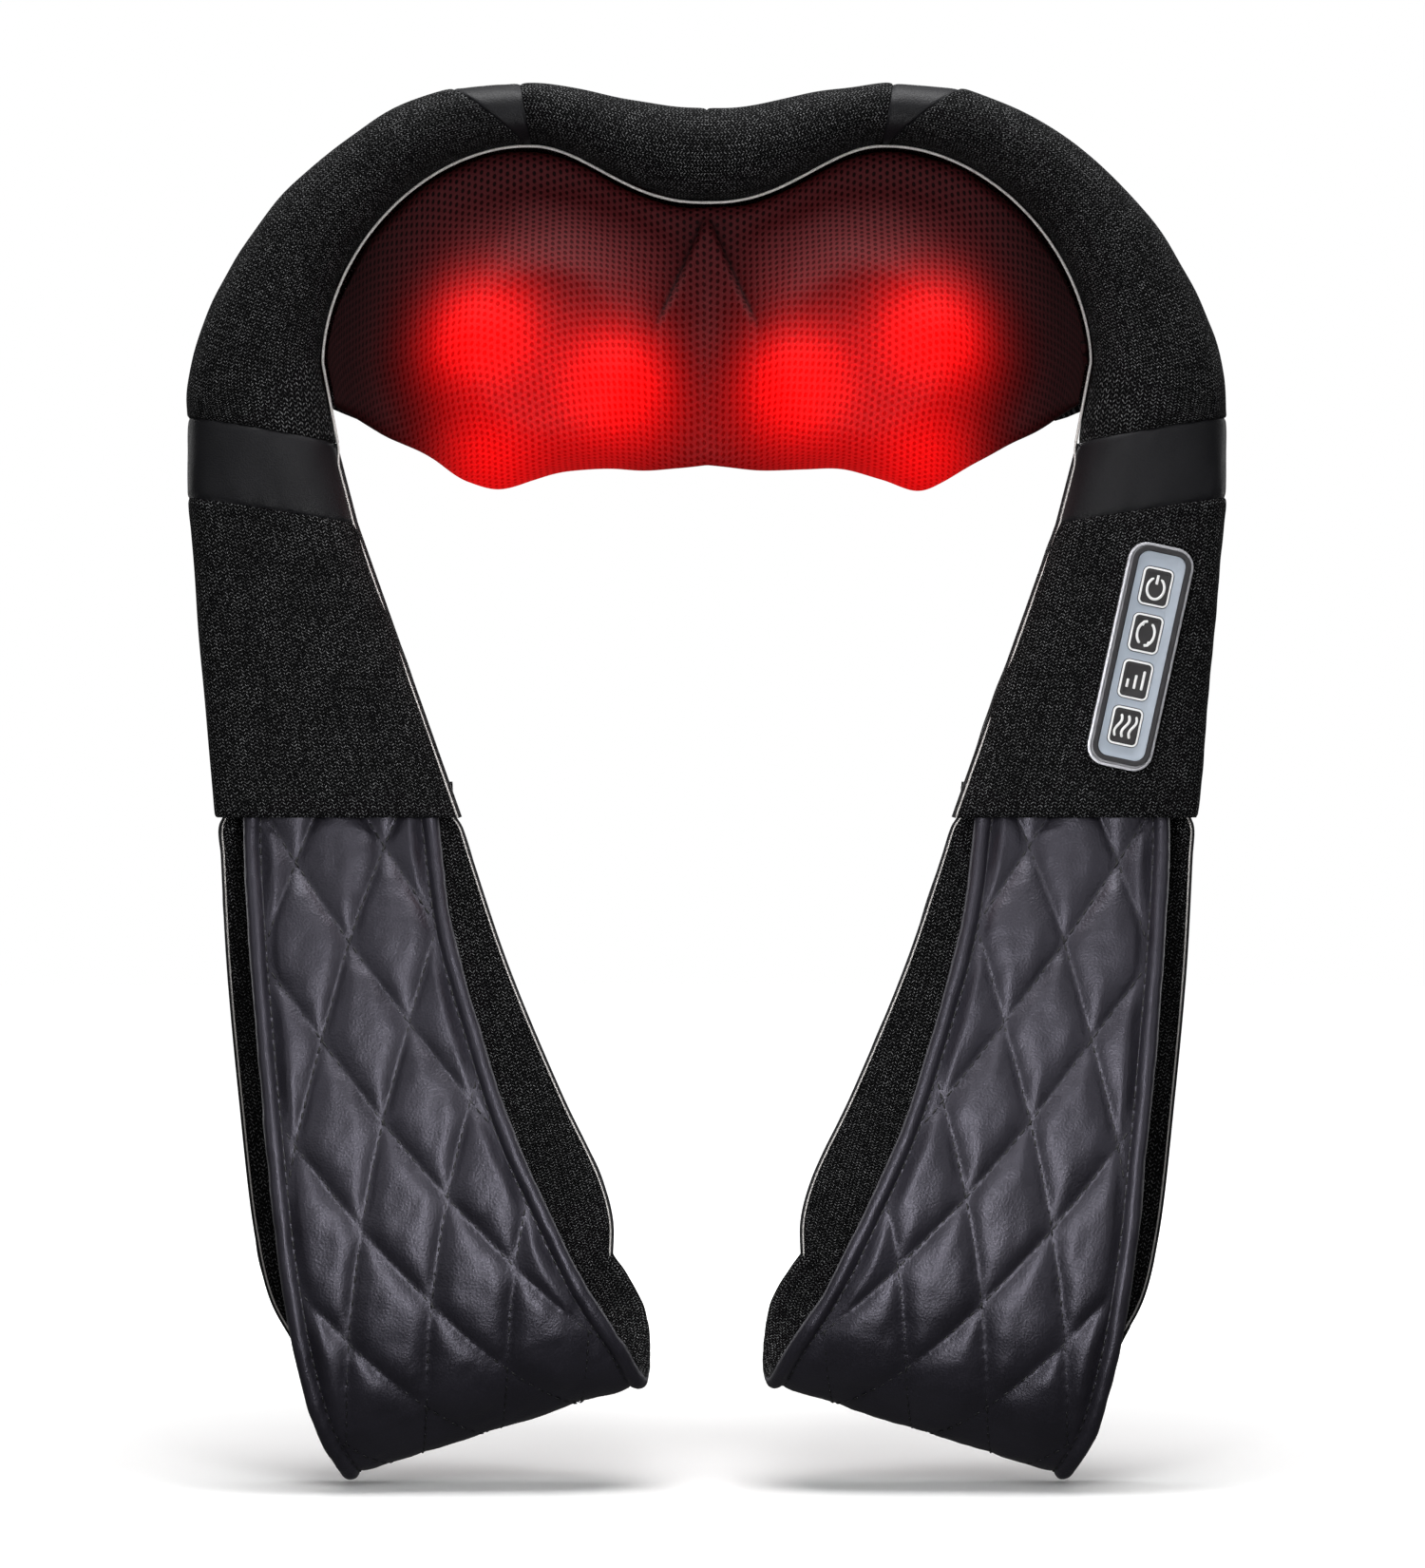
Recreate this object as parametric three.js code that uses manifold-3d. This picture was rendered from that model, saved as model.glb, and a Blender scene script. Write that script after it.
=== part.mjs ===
// A shiatsu neck massager: a padded yoke that hangs over the shoulders, a geared massage core behind a
// mesh window, and two arms that end in quilted hand loops.
//
// Millimetres, +Z up. The wearer's nape rests at the origin, on the front of the neck bolster. The mesh
// side faces -Y, and left and right are as seen from that side, so the control pod is on +X.
import * as THREE from "three";
import { mergeVertices } from "three/addons/utils/BufferGeometryUtils.js";
import Module from "manifold-3d";

const wasm = await Module();
wasm.setup();

// ---- driving dimensions ----------------------------------------------------------------------------

const gap = 0.4; // between pieces that lie against each other
const coverWall = 2; // fabric with its lining
const span = 435; // across both arms
const side = span / 2;

// Neck bolster and wedges, the middle of the yoke.
const bolsterHalfDepth = 26;
const bolsterTop = 18.8; // at the centre seam
const bolsterBottom = -20;
const crown = 29; // top of the yoke, at the wedges
const windowCrown = 3.6; // top of the mesh window, under the wedges
const seamReach = 78; // centre seam to the wedge

// Shoulders, two superelliptic quarter turns.
const shoulderDrop = 105; // origin to where the outer edge hangs straight
const shoulderPower = 1.72;
const windowReach = side - 56; // half the width of the mesh window
const windowDrop = 88;
const windowPower = 1.85;

// Arms: a leather band that flexes, a padded sleeve, a thin tail and a quilted loop.
const bandTop = 110.6;
const bandHeight = 33.6;
const bandSlant = 11; // the band's inner end hangs this much lower
const bandTopWidth = 62.3;
const bandBottomWidth = 71;
const bandHalfDepth = 21;
const hemDrop = 278;
const hemWidth = 103;
const hemInset = 11.5; // the hem's outer end stands in from the side
const hemHalfDepth = 14.5;
const tuck = 15; // how far the tail and the loop reach up into the sleeve
const tailThick = 7;
const loopThick = 6.5;
const loopBow = 52; // how far the loop stands in front of the arm

// Massage core.
const headReach = 66; // centre line to a head's spindle
const headDrop = 86;
const nodeOrbit = 26; // spindle to a node's centre
const largeNodeRadius = 16.5;
const largeNodeHeight = 26;
const smallNodeRadius = 13;
const smallNodeHeight = 20;
const rotorFront = 10; // front face of the rotor, ahead of the arm plane
const rotorThick = 5;
const hubRadius = 9.5;
const housingReach = headReach + 34;
const housingTop = 34;
const housingBottom = 117;
const housingFront = 10;
const housingBack = 62;
const housingWall = 2.5;
const housingCorner = 14;
const plateThick = 4;
const spindleRadius = 4;
const bushRadius = 7;
const bushFlangeRadius = 9;
const bushFlange = 2;

// Worm drive.
const gearModule = 1.5;
const wheelTeeth = 24;
const wheelFace = 8;
const wormRadius = 6; // pitch radius
const wormTurns = 3;
const driveDepth = 36; // worm axis behind the arm plane
const shaftRadius = 2.2;
const motorRadius = 17.5;
const motorLength = 56;
const ribThick = 3;
const ribReach = headReach + 25; // outer face of the ribs that hold the shaft's ends

// Control pod on the right sleeve.
const podLength = 94.5;
const podWidth = 27.6;
const podCorner = 8;
const podProud = 5; // bezel above the fabric
const podTilt = THREE.MathUtils.degToRad(12.2);
const podReach = 180.2;
const podDrop = 211;
const podLean = Math.atan((bandHalfDepth - 0.5 - hemHalfDepth) / (hemDrop - bandTop - bandHeight));
const podDepth = 9; // housing behind the fabric
const plateLength = 87;
const plateWidth = 20;
const facePlateThick = 2;
const keyWidth = 12.6;
const keyPitch = 19.7;
const keyLength = keyPitch - 3.7;
const keyProud = 1;
const keyTravel = 0.6;
const keyCorner = 2;

// Rear zip and power inlet.
const zipReach = housingReach - 2;
const zipWidth = 13;
const zipThick = 1.6;
const coverBack = 68;
const pullLength = 5;
const rearReach = side - 41.5; // half the width of the rear cover, which laps the backs of the shoulders
const inletRadius = 5.5;
const inletBore = 2.8;
const inletPin = 1;

const sweep = nodeOrbit + largeNodeRadius;
const podPlateau = sweep - 12.5; // the mesh stands clear of the turning nodes inside this radius
const podSkirt = 45;
const rimDepth = 8;
const meshDepth = rotorFront + largeNodeHeight + coverWall + 3;
const meshFloor = headDrop + sweep + coverWall + 1.9;
const underFloor = housingBottom + coverWall + 2.5;

// ---- materials -------------------------------------------------------------------------------------

const finish = (color, roughness, metalness = 0) =>
  new THREE.MeshStandardMaterial({ color, roughness, metalness });
const woven = finish(0x17181a, 0.95);
const leather = finish(0x25252d, 0.45);
const mesh = finish(0x5a1014, 0.8);
const foam = finish(0xd9d4c4, 1);
const piping = finish(0xb9b4b0, 0.5);
const blackPlastic = finish(0x202124, 0.5);
const greyPlastic = finish(0xb4bfca, 0.4);
const darkKey = finish(0x38343a, 0.5);
const whitePlastic = finish(0xe6e4de, 0.45);
const redSilicone = finish(0xc01412, 0.4);
const steel = finish(0xb8bcc2, 0.3, 1);
const brass = finish(0xb9924a, 0.35, 1);
const circuit = finish(0x1d5b34, 0.6);

// ---- building solids -------------------------------------------------------------------------------

const point = (x, y, z) => new THREE.Vector3(x, y, z);
const mix = THREE.MathUtils.lerp;

/** Six times the volume inside a closed indexed surface; negative when its faces point in. */
function signedVolume(positions, index) {
  const at = (i) => point(positions[3 * i], positions[3 * i + 1], positions[3 * i + 2]);
  let total = 0;
  for (let i = 0; i < index.length; i += 3) {
    total += at(index[i]).dot(at(index[i + 1]).cross(at(index[i + 2])));
  }
  return total;
}

/** A closed geometry from points and triangles, turned so that its faces point out. */
function closed(points, triangles) {
  const positions = points.flatMap((p) => [p.x, p.y, p.z]);
  const turned =
    signedVolume(positions, triangles.flat()) < 0 ? triangles.map(([a, b, c]) => [a, c, b]) : triangles;
  const geometry = new THREE.BufferGeometry();
  geometry.setAttribute("position", new THREE.Float32BufferAttribute(positions, 3));
  geometry.setIndex(turned.flat());
  return geometry;
}

/** A solid through a list of rings, with a fan over each end. */
function loft(rings) {
  const n = rings[0].length;
  const points = rings.flat();
  const triangles = [];
  for (let i = 0; i + 1 < rings.length; i++) {
    for (let j = 0; j < n; j++) {
      const [a, b] = [i * n + j, i * n + ((j + 1) % n)];
      triangles.push([a, b, b + n], [a, b + n, a + n]);
    }
  }
  for (const end of [0, rings.length - 1]) {
    const centre = rings[end].reduce((sum, p) => sum.add(p), point(0, 0, 0)).divideScalar(n);
    points.push(centre);
    for (let j = 0; j < n; j++) {
      const [a, b] = [end * n + j, end * n + ((j + 1) % n)];
      triangles.push(end ? [a, b, points.length - 1] : [b, a, points.length - 1]);
    }
  }
  return closed(points, triangles);
}

/** The solid between two grids of points; wrapped grids are rings, open ones are sheets. */
function between(outer, inner, wrapped) {
  const [rows, n] = [outer.length, outer[0].length];
  const points = [...outer.flat(), ...inner.flat()];
  const far = rows * n;
  const triangles = [];
  const quad = (a, b, c, d) => triangles.push([a, b, c], [a, c, d]);
  const columns = wrapped ? n : n - 1;
  for (let i = 0; i + 1 < rows; i++) {
    for (let j = 0; j < columns; j++) {
      const [a, b] = [i * n + j, i * n + ((j + 1) % n)];
      quad(a, b, b + n, a + n);
      quad(far + a, far + a + n, far + b + n, far + b);
    }
  }
  for (let j = 0; j < columns; j++) {
    const [a, b] = [j, (j + 1) % n];
    const last = (rows - 1) * n;
    quad(a, far + a, far + b, b);
    quad(last + a, last + b, far + last + b, far + last + a);
  }
  if (!wrapped) {
    for (let i = 0; i + 1 < rows; i++) {
      const [a, b] = [i * n, (i + 1) * n];
      quad(a, b, far + b, far + a);
      quad(a + n - 1, far + a + n - 1, far + b + n - 1, b + n - 1);
    }
  }
  return closed(points, triangles);
}

/** The grid moved inwards by a wall, along its own normals, which point away from `core`. */
function inwards(grid, wall, core) {
  return grid.map((row, i) =>
    row.map((p, j) => {
      const along = grid[Math.min(i + 1, grid.length - 1)][j].clone().sub(grid[Math.max(i - 1, 0)][j]);
      const across = row[Math.min(j + 1, row.length - 1)].clone().sub(row[Math.max(j - 1, 0)]);
      const normal = along.cross(across).normalize();
      if (normal.dot(p.clone().sub(core)) < 0) normal.negate();
      return p.clone().addScaledVector(normal, -wall);
    }),
  );
}

function solidOf(geometry) {
  const bare = (geometry.index ? geometry.toNonIndexed() : geometry.clone())
    .deleteAttribute("normal")
    .deleteAttribute("uv");
  const merged = mergeVertices(bare, 1e-4);
  const vertProperties = merged.attributes.position.array;
  const triVerts = new Uint32Array(merged.index.array);
  return new wasm.Manifold(new wasm.Mesh({ numProp: 3, vertProperties, triVerts }));
}

function geometryOf(solid) {
  const { vertProperties, triVerts } = solid.getMesh();
  const geometry = new THREE.BufferGeometry();
  geometry.setAttribute("position", new THREE.BufferAttribute(vertProperties, 3));
  geometry.setIndex(new THREE.BufferAttribute(triVerts, 1));
  return geometry;
}

const join = (...pieces) => geometryOf(pieces.map(solidOf).reduce((a, b) => a.add(b)));
const cut = (body, ...tools) =>
  geometryOf(tools.map(solidOf).reduce((a, b) => a.subtract(b), solidOf(body)));

/** A plate in the XZ plane with rounded corners, from yFront back to yBack. */
function roundedPlate(width, height, corner, yFront, yBack, arcSteps = 3) {
  const [w, h] = [width / 2 - corner, height / 2 - corner];
  const outline = new THREE.Shape();
  outline.absarc(w, h, corner, 0, Math.PI / 2);
  outline.absarc(-w, h, corner, Math.PI / 2, Math.PI);
  outline.absarc(-w, -h, corner, Math.PI, 1.5 * Math.PI);
  outline.absarc(w, -h, corner, 1.5 * Math.PI, 2 * Math.PI);
  outline.closePath();
  const depth = yBack - yFront;
  return new THREE.ExtrudeGeometry(outline, { depth, bevelEnabled: false, curveSegments: arcSteps })
    .rotateX(Math.PI / 2)
    .translate(0, yBack, 0);
}

/** A cylinder along Y from yFront to yBack. */
const barrel = (radius, yFront, yBack, sides = 16) =>
  new THREE.CylinderGeometry(radius, radius, yBack - yFront, sides).translate(0, (yFront + yBack) / 2, 0);

/** A cylinder along X, centred on the drive axis. */
const axle = (radius, length, sides = 12) =>
  new THREE.CylinderGeometry(radius, radius, length, sides).rotateZ(Math.PI / 2);

const massager = new THREE.Group();
massager.position.y = bolsterHalfDepth;

function add(name, geometry, material, parent = massager) {
  const piece = new THREE.Mesh(geometry, material);
  piece.name = name;
  parent.add(piece);
  return piece;
}

// ---- the yoke: one padded section carried from the centre seam down each arm -----------------------

const ringSides = 12;
const yokePlan = { seam: 1, wedge: 2, shoulder: 3, bandTop: 4, bandBottom: 5, hem: 6 };

const ease = (t) => 0.5 - 0.5 * Math.cos(Math.PI * t);

/** A sine or cosine `v`, bowed out so that a round becomes squarer as `power` grows. */
const bowed = (v, power) => Math.sign(v) * Math.pow(Math.abs(v), 2 / power);

const quarter = (centre, reach, rise, power, t) => {
  const angle = ((1 - t) * Math.PI) / 2;
  const [across, up] = [bowed(Math.cos(angle), power), bowed(Math.sin(angle), power)];
  return [centre[0] + reach * across, centre[1] + rise * up];
};

const shoulderStart = 0.11; // the wedge covers the first part of the quarter turn
const outerQuarter = (t) => {
  const centre = [seamReach + 12, -shoulderDrop];
  return quarter(centre, side - centre[0], crown + shoulderDrop, shoulderPower, mix(shoulderStart, 1, t));
};
const innerQuarter = (t) => {
  const centre = [seamReach - 2, -windowDrop];
  return quarter(centre, windowReach - centre[0], windowCrown + windowDrop, windowPower, t);
};
const blend = (a, b, t) => [mix(a[0], b[0], t), mix(a[1], b[1], t)];

const seamOuter = [seamReach, crown];
const seamInner = [seamReach - 4.5, windowCrown];
const bandTopPair = [
  [side, -bandTop],
  [side - bandTopWidth, -bandTop - bandSlant],
];
const bandBottomPair = [
  [side, -bandTop - bandHeight],
  [side - bandBottomWidth, -bandTop - bandHeight - bandSlant],
];
const hemPair = [
  [side - hemInset, -hemDrop],
  [side - hemInset - hemWidth, -hemDrop],
];

/** Outer and inner edge, half depth and squareness of the yoke at u, which counts off yokePlan. */
function yokeAt(u) {
  const [stage, t] = [Math.min(Math.floor(u), 5), u - Math.min(Math.floor(u), 5)];
  const rise = Math.pow(t, 1.2);
  const pairs = [
    () => [
      [mix(0, seamOuter[0], t), mix(bolsterTop, seamOuter[1], ease(t))],
      [mix(0, seamInner[0], t), mix(bolsterBottom, seamInner[1], ease(rise))],
    ],
    () => [blend(seamOuter, outerQuarter(0), t), blend(seamInner, innerQuarter(0), t)],
    () => [outerQuarter(t), innerQuarter(t)],
    () => [blend(outerQuarter(1), bandTopPair[0], t), blend(innerQuarter(1), bandTopPair[1], t)],
    () => [blend(bandTopPair[0], bandBottomPair[0], t), blend(bandTopPair[1], bandBottomPair[1], t)],
    () => [blend(bandBottomPair[0], hemPair[0], t), blend(bandBottomPair[1], hemPair[1], t)],
  ];
  const depths = [bolsterHalfDepth, bolsterHalfDepth, bolsterHalfDepth, bolsterHalfDepth - 2];
  depths.push(bandHalfDepth + 1, bandHalfDepth - 0.5, hemHalfDepth);
  const squareness = [2.4, 2.4, 2.4, 2.4, 2.4, 3, 5];
  const [outer, inner] = pairs[stage]();
  const depth = mix(depths[stage], depths[stage + 1], t);
  return { outer, inner, depth, power: mix(squareness[stage], squareness[stage + 1], t) };
}

/** Superelliptic ring round a chord in the XZ plane; `inset` makes the ring of an inner wall. */
function padRing(x0, z0, x1, z1, y, depth, power, inset = 0) {
  const half = point((x1 - x0) / 2, 0, (z1 - z0) / 2);
  const shrink = 1 - inset / half.length();
  return Array.from({ length: ringSides }, (_, k) => {
    const angle = (2 * Math.PI * k) / ringSides;
    const along = bowed(Math.cos(angle), power) * shrink;
    const away = bowed(Math.sin(angle), power) * (depth - inset);
    return point((x0 + x1) / 2, y - away, (z0 + z1) / 2).addScaledVector(half, along);
  });
}

function yokeRing(u, sign, inset = 0) {
  const { outer, inner, depth, power } = yokeAt(u);
  return padRing(sign * outer[0], outer[1], sign * inner[0], inner[1], 0, depth, power, inset);
}

const steps = (from, to, count) => Array.from({ length: count + 1 }, (_, k) => mix(from, to, k / count));

const sewn = 0.008; // a seam's gap, in stages of the yoke
const bolsterStages = steps(sewn, yokePlan.wedge - 1 - sewn, 5);
const wedgeStages = steps(yokePlan.wedge - 1 + sewn, yokePlan.wedge - sewn, 2);
const shoulderStages = [...steps(yokePlan.wedge + sewn, yokePlan.shoulder, 8), yokePlan.bandTop - sewn];
const bandStages = steps(yokePlan.bandTop + sewn, yokePlan.bandBottom - sewn, 2);
const sleeveStages = steps(yokePlan.bandBottom + sewn, yokePlan.hem, 4);

/** A sewn tube of cover fabric along the yoke. */
function cover(stages, sign) {
  const outer = stages.map((u) => yokeRing(u, sign));
  const inner = stages.map((u) => yokeRing(u, sign, coverWall));
  return between(outer, inner, true);
}

for (const [name, sign] of [
  ["left", -1],
  ["right", 1],
]) {
  add(`${name}_bolster_cover`, cover(bolsterStages, sign), woven);
  add(`${name}_wedge`, cover(wedgeStages, sign), leather);
  add(`${name}_shoulder_cover`, cover(shoulderStages, sign), woven);
  add(`${name}_band`, loft(bandStages.map((u) => yokeRing(u, sign))), leather);

  let sleeve = cover(sleeveStages, sign);
  const foamFill = sleeveStages.slice(0, -1).map((u) => yokeRing(u, sign, coverWall + 2 * gap));
  let sleeveFoam = loft(foamFill);
  if (sign > 0) {
    const well = onSleeve(
      roundedPlate(podWidth - 4 + 2 * gap, podLength - 4 + 2 * gap, podCorner - 2, -20, podDepth + gap),
    );
    sleeve = cut(sleeve, well);
    sleeveFoam = cut(sleeveFoam, well);
  }
  add(`${name}_sleeve_cover`, sleeve, woven);
  add(`${name}_sleeve_foam`, sleeveFoam, foam);
}

/** A geometry made about the control pod's middle, moved to its place on the sleeve. */
function onSleeve(geometry) {
  return geometry.rotateY(podTilt).rotateX(podLean).translate(podReach, podFabricPlane(), -podDrop);
}

/** Depth of the sleeve's front face under the middle of the control pod. */
function podFabricPlane() {
  const t = (podDrop - bandTop - bandHeight) / (hemDrop - bandTop - bandHeight);
  return -mix(bandHalfDepth - 0.5, hemHalfDepth, t);
}

const foamStages = [0, ...bolsterStages, ...wedgeStages, ...shoulderStages];
const signedStages = [...foamStages.slice(1).map((u) => -u).reverse(), ...foamStages];
const yokeFoam = signedStages.map((u) => yokeRing(Math.abs(u), u < 0 ? -1 : 1, coverWall + 2 * gap));
add("yoke_foam", loft(yokeFoam), foam);

// ---- mesh window, its piping and the rear cover ----------------------------------------------------

const windowEdge = steps(0, yokePlan.bandTop, 120).map((u) => yokeAt(u).inner);

/** The window's edge moved in by `inset`, from the centre to one side. */
function insetEdge(inset) {
  return windowEdge.map(([s, z], k) => {
    const before = windowEdge[Math.max(k - 1, 0)];
    const after = windowEdge[Math.min(k + 1, windowEdge.length - 1)];
    const [ds, dz] = [after[0] - before[0], after[1] - before[1]];
    const length = Math.hypot(ds, dz) || 1;
    return [k ? s + (inset * dz) / length : 0, z - (inset * ds) / length];
  });
}

/** Height of a curve of [s, z] points at s, up to where it turns back. */
function heightAt(curve, s) {
  const k = curve.findIndex(([reach]) => reach >= s);
  if (k <= 0) return curve.at(k)[1];
  const [a, b] = [curve[k - 1], curve[k]];
  return mix(a[1], b[1], (s - a[0]) / (b[0] - a[0]));
}

const pipingRadius = 1.3;
const pipingDepth = 5;
const meshRim = insetEdge(2 * pipingRadius + 3 * gap);
const rimReach = Math.max(...meshRim.map(([s]) => s));
const lowerRim = meshRim.slice(meshRim.findIndex(([s]) => s === rimReach));

// Lower edges from the centre out, as [s, height above the mesh's floor]: the core's rear, and the mesh
// in front of it, which sags over the outer lower node of each head.
const sagInner = [
  [0, 2],
  [headReach - 44, -0.4],
  [headReach - 24, 0.4],
  [headReach - 6, -0.2],
  [headReach + 10, -4.4],
  [headReach + nodeOrbit, -8.6],
];
const lowerCurve = (outer) =>
  new THREE.SplineCurve([...sagInner, ...outer].map(([s, lift]) => new THREE.Vector2(s, lift - meshFloor)))
    .getPoints(60)
    .map((p) => [p.x, p.y]);
const rearEdge = lowerCurve([
  [headReach + nodeOrbit + 12, -4],
  [headReach + sweep + 10, 9],
  [mix(headReach + sweep, windowReach, 0.6), 20],
  [windowReach + 2, 30],
]);
const lowerEdge = lowerCurve([
  [headReach + nodeOrbit + 12, -5],
  [headReach + sweep + 10, 4],
  [mix(headReach + sweep, windowReach, 0.6), 14.5],
  [windowReach + 2, 29],
]);

/** How far the turning heads push the mesh forward at a place in the window. */
function podLift(x, z) {
  const height = meshDepth - rimDepth;
  return [-1, 1].reduce((sum, sign) => {
    const away = Math.hypot(x - sign * headReach, z + headDrop) - podPlateau;
    const share = THREE.MathUtils.clamp(away / podSkirt, 0, 1);
    return sum + height * (0.5 + 0.5 * Math.cos(Math.PI * share));
  }, 0);
}

/** How far back the core pushes the covers out at x. */
function backAt(x) {
  const t = THREE.MathUtils.clamp((Math.abs(x) - housingReach + 2) / (rimReach - housingReach), 0, 1);
  return mix(coverBack, bolsterHalfDepth + coverWall + 3, ease(t));
}

const frontStops = [0, 0.16, 0.32, 0.48, 0.64, 0.8, 0.9, 0.96, 1];
const roundingStart = 0.85;
const stationCount = 24;
const zipClose = [zipReach + 1, zipReach + 6]; // the mesh closes up to the rear cover past the zip's ends
const wallStations = steps(-1, 1, stationCount)
  .map((t) => rimReach * mix(t, Math.sin((t * Math.PI) / 2), 0.7))
  .concat(zipClose, zipClose.map((x) => -x))
  .sort((a, b) => a - b);
const zipGapAt = (x) => {
  const [start, end] = zipClose;
  return mix(zipWidth, 0, THREE.MathUtils.clamp((Math.abs(x) - start) / (end - start), 0, 1));
};
const zipFront = (x) => backAt(x) - 10 - zipGapAt(x) - 2.5 * gap;

/** Where the window's side edge turns back in, below its widest point, the mesh follows it. */
function narrowed(p) {
  const k = lowerRim.findIndex(([, z]) => z < p.z);
  return k <= 0 ? p : point((p.x * lowerRim[k][0]) / rimReach, p.y, p.z);
}

function meshProfile(x) {
  const [top, bottom] = [heightAt(meshRim, Math.abs(x)), heightAt(lowerEdge, Math.abs(x))];
  const front = frontStops.map((v) => {
    const z = mix(top, bottom, v);
    const t = Math.max(0, (v - roundingStart) / (1 - roundingStart));
    const rounding = Math.cbrt(1 - t ** 3);
    return point(x, -(rimDepth + podLift(x, z)) * rounding, z);
  });
  const rear = zipFront(x);
  const under = Math.max(heightAt(rearEdge, Math.abs(x)), -underFloor);
  const belly = point(x, rear * 0.42, mix(bottom, under, 0.6));
  return [...front, belly, point(x, rear - 6, under), point(x, rear, under)].map(narrowed);
}

const coreCentre = point(0, 20, -80);
const meshOuter = wallStations.map(meshProfile);
add("mesh_cover", between(meshOuter, inwards(meshOuter, coverWall, coreCentre), false), mesh);

const yokeMiddle = steps(0, yokePlan.bandTop, 60).map((u) => {
  const { outer, inner } = yokeAt(u);
  return blend(outer, inner, 0.35);
});

function rearProfile(x) {
  const top = heightAt(yokeMiddle, Math.abs(x));
  const back = backAt(x);
  const lip = bolsterHalfDepth + gap + coverWall;
  const under = Math.max(heightAt(rearEdge, Math.abs(x)), -underFloor);
  const shelf = mix(top, under, 0.4);
  const corner = Math.min(12, (shelf - under) / 3);
  return [
    point(x, lip, top),
    point(x, mix(lip, back, 0.62), mix(top, shelf, 0.22)),
    point(x, mix(lip, back, 0.92), mix(top, shelf, 0.55)),
    point(x, back, shelf),
    point(x, back, mix(shelf, under + corner, 0.5)),
    point(x, back, under + corner),
    point(x, Math.max(back - corner * 0.3, mix(lip, back, 0.7)), under + corner * 0.3),
    point(x, Math.max(back - 6, mix(lip, back, 0.4)), under),
    point(x, Math.max(back - 10 + 2 * gap, lip), under),
  ];
}

const rearStations = steps(-rearReach, rearReach, 20);
const rearOuter = rearStations.map(rearProfile);
const inletX = headReach + 12;
const inletZ = -98;
const inletHole = barrel(inletRadius + gap, 40, 90).translate(inletX, 0, inletZ);
const rearSheet = between(rearOuter, inwards(rearOuter, coverWall, coreCentre), false);
add("rear_cover", cut(rearSheet, inletHole), woven);

const pipingSide = (sign) =>
  insetEdge(pipingRadius + gap).map(([s, z]) => point(sign * s, -pipingDepth, z));
const pipingLine = [...pipingSide(-1).reverse(), ...pipingSide(1).slice(1)].filter((_, k) => k % 4 === 0);
const pipingSection = new THREE.Shape().absarc(0, 0, pipingRadius, 0, 2 * Math.PI);
add(
  "window_piping",
  new THREE.ExtrudeGeometry(pipingSection, {
    steps: 48,
    curveSegments: 3,
    extrudePath: new THREE.CatmullRomCurve3(pipingLine),
  }),
  piping,
);

// ---- tails and hand loops --------------------------------------------------------------------------

/** A flat strap through pairs of edge points, with its thickness square to its own surface. */
function strap(outerPoints, innerPoints, thick, count, power) {
  const [outer, inner] = [new THREE.CatmullRomCurve3(outerPoints), new THREE.CatmullRomCurve3(innerPoints)];
  const middle = (t) => outer.getPoint(t).add(inner.getPoint(t)).divideScalar(2);
  const rings = steps(0, 1, count).map((t) => {
    const half = inner.getPoint(t).sub(outer.getPoint(t)).divideScalar(2);
    const run = middle(Math.min(t + 0.02, 1)).sub(middle(Math.max(t - 0.02, 0)));
    const normal = run.cross(half).normalize();
    return Array.from({ length: 10 }, (_, k) => {
      const angle = (2 * Math.PI * k) / 10;
      return middle(t)
        .addScaledVector(half, bowed(Math.cos(angle), power))
        .addScaledVector(normal, (bowed(Math.sin(angle), power) * thick) / 2);
    });
  });
  return loft(rings);
}

// Edge points as [distance in from the hem's outer end, drop below the hem, forward of the arm plane].
const insideSleeve = (hemHalfDepth - coverWall) / 2;
const tailPlane = -insideSleeve + 0.8;
const tailOuter = [
  [9, -tuck, tailPlane],
  [6.5, 0, tailPlane],
  [3.6, 12, tailPlane],
  [4.5, 60, tailPlane],
  [9.5, 116, tailPlane],
  [17, 176, tailPlane],
  [29, 217, tailPlane],
];
const tailInner = [
  [91, -tuck, tailPlane],
  [95, 0, tailPlane],
  [101.5, 9, tailPlane],
  [122, 60, tailPlane],
  [145, 116, tailPlane],
  [165.5, 165, tailPlane],
  [166.5, 184, tailPlane],
];
const loopOuter = [
  [14, -tuck, insideSleeve],
  [12.5, 4, insideSleeve + 2.5],
  [15.5, 47, 0.45 * loopBow],
  [20, 92, 0.68 * loopBow],
  [25, 138, 0.88 * loopBow],
  [30.5, 184, loopBow],
  [37.5, 224, 0.98 * loopBow],
  [45.5, 254, 0.8 * loopBow],
  [55, 272.5, 0.42 * loopBow],
  [52, 262, 0.1 * loopBow],
  [42, 240, tailPlane + 1],
  [29.3, 217.7, tailPlane],
];
const loopInner = [
  [92, -tuck, insideSleeve],
  [94.5, 4, insideSleeve + 2.5],
  [101, 47, 0.45 * loopBow],
  [114, 92, 0.68 * loopBow],
  [127, 130, 0.88 * loopBow],
  [142, 162, loopBow],
  [158, 194, 0.98 * loopBow],
  [173, 218, 0.8 * loopBow],
  [181, 232.5, 0.42 * loopBow],
  [182.5, 222, 0.1 * loopBow],
  [179, 203, tailPlane + 1],
  [166.7, 184.7, tailPlane],
];
const fromHem = (sign) => ([inset, drop, ahead]) =>
  point(sign * (side - hemInset - inset), -ahead, -hemDrop - drop);
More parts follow.
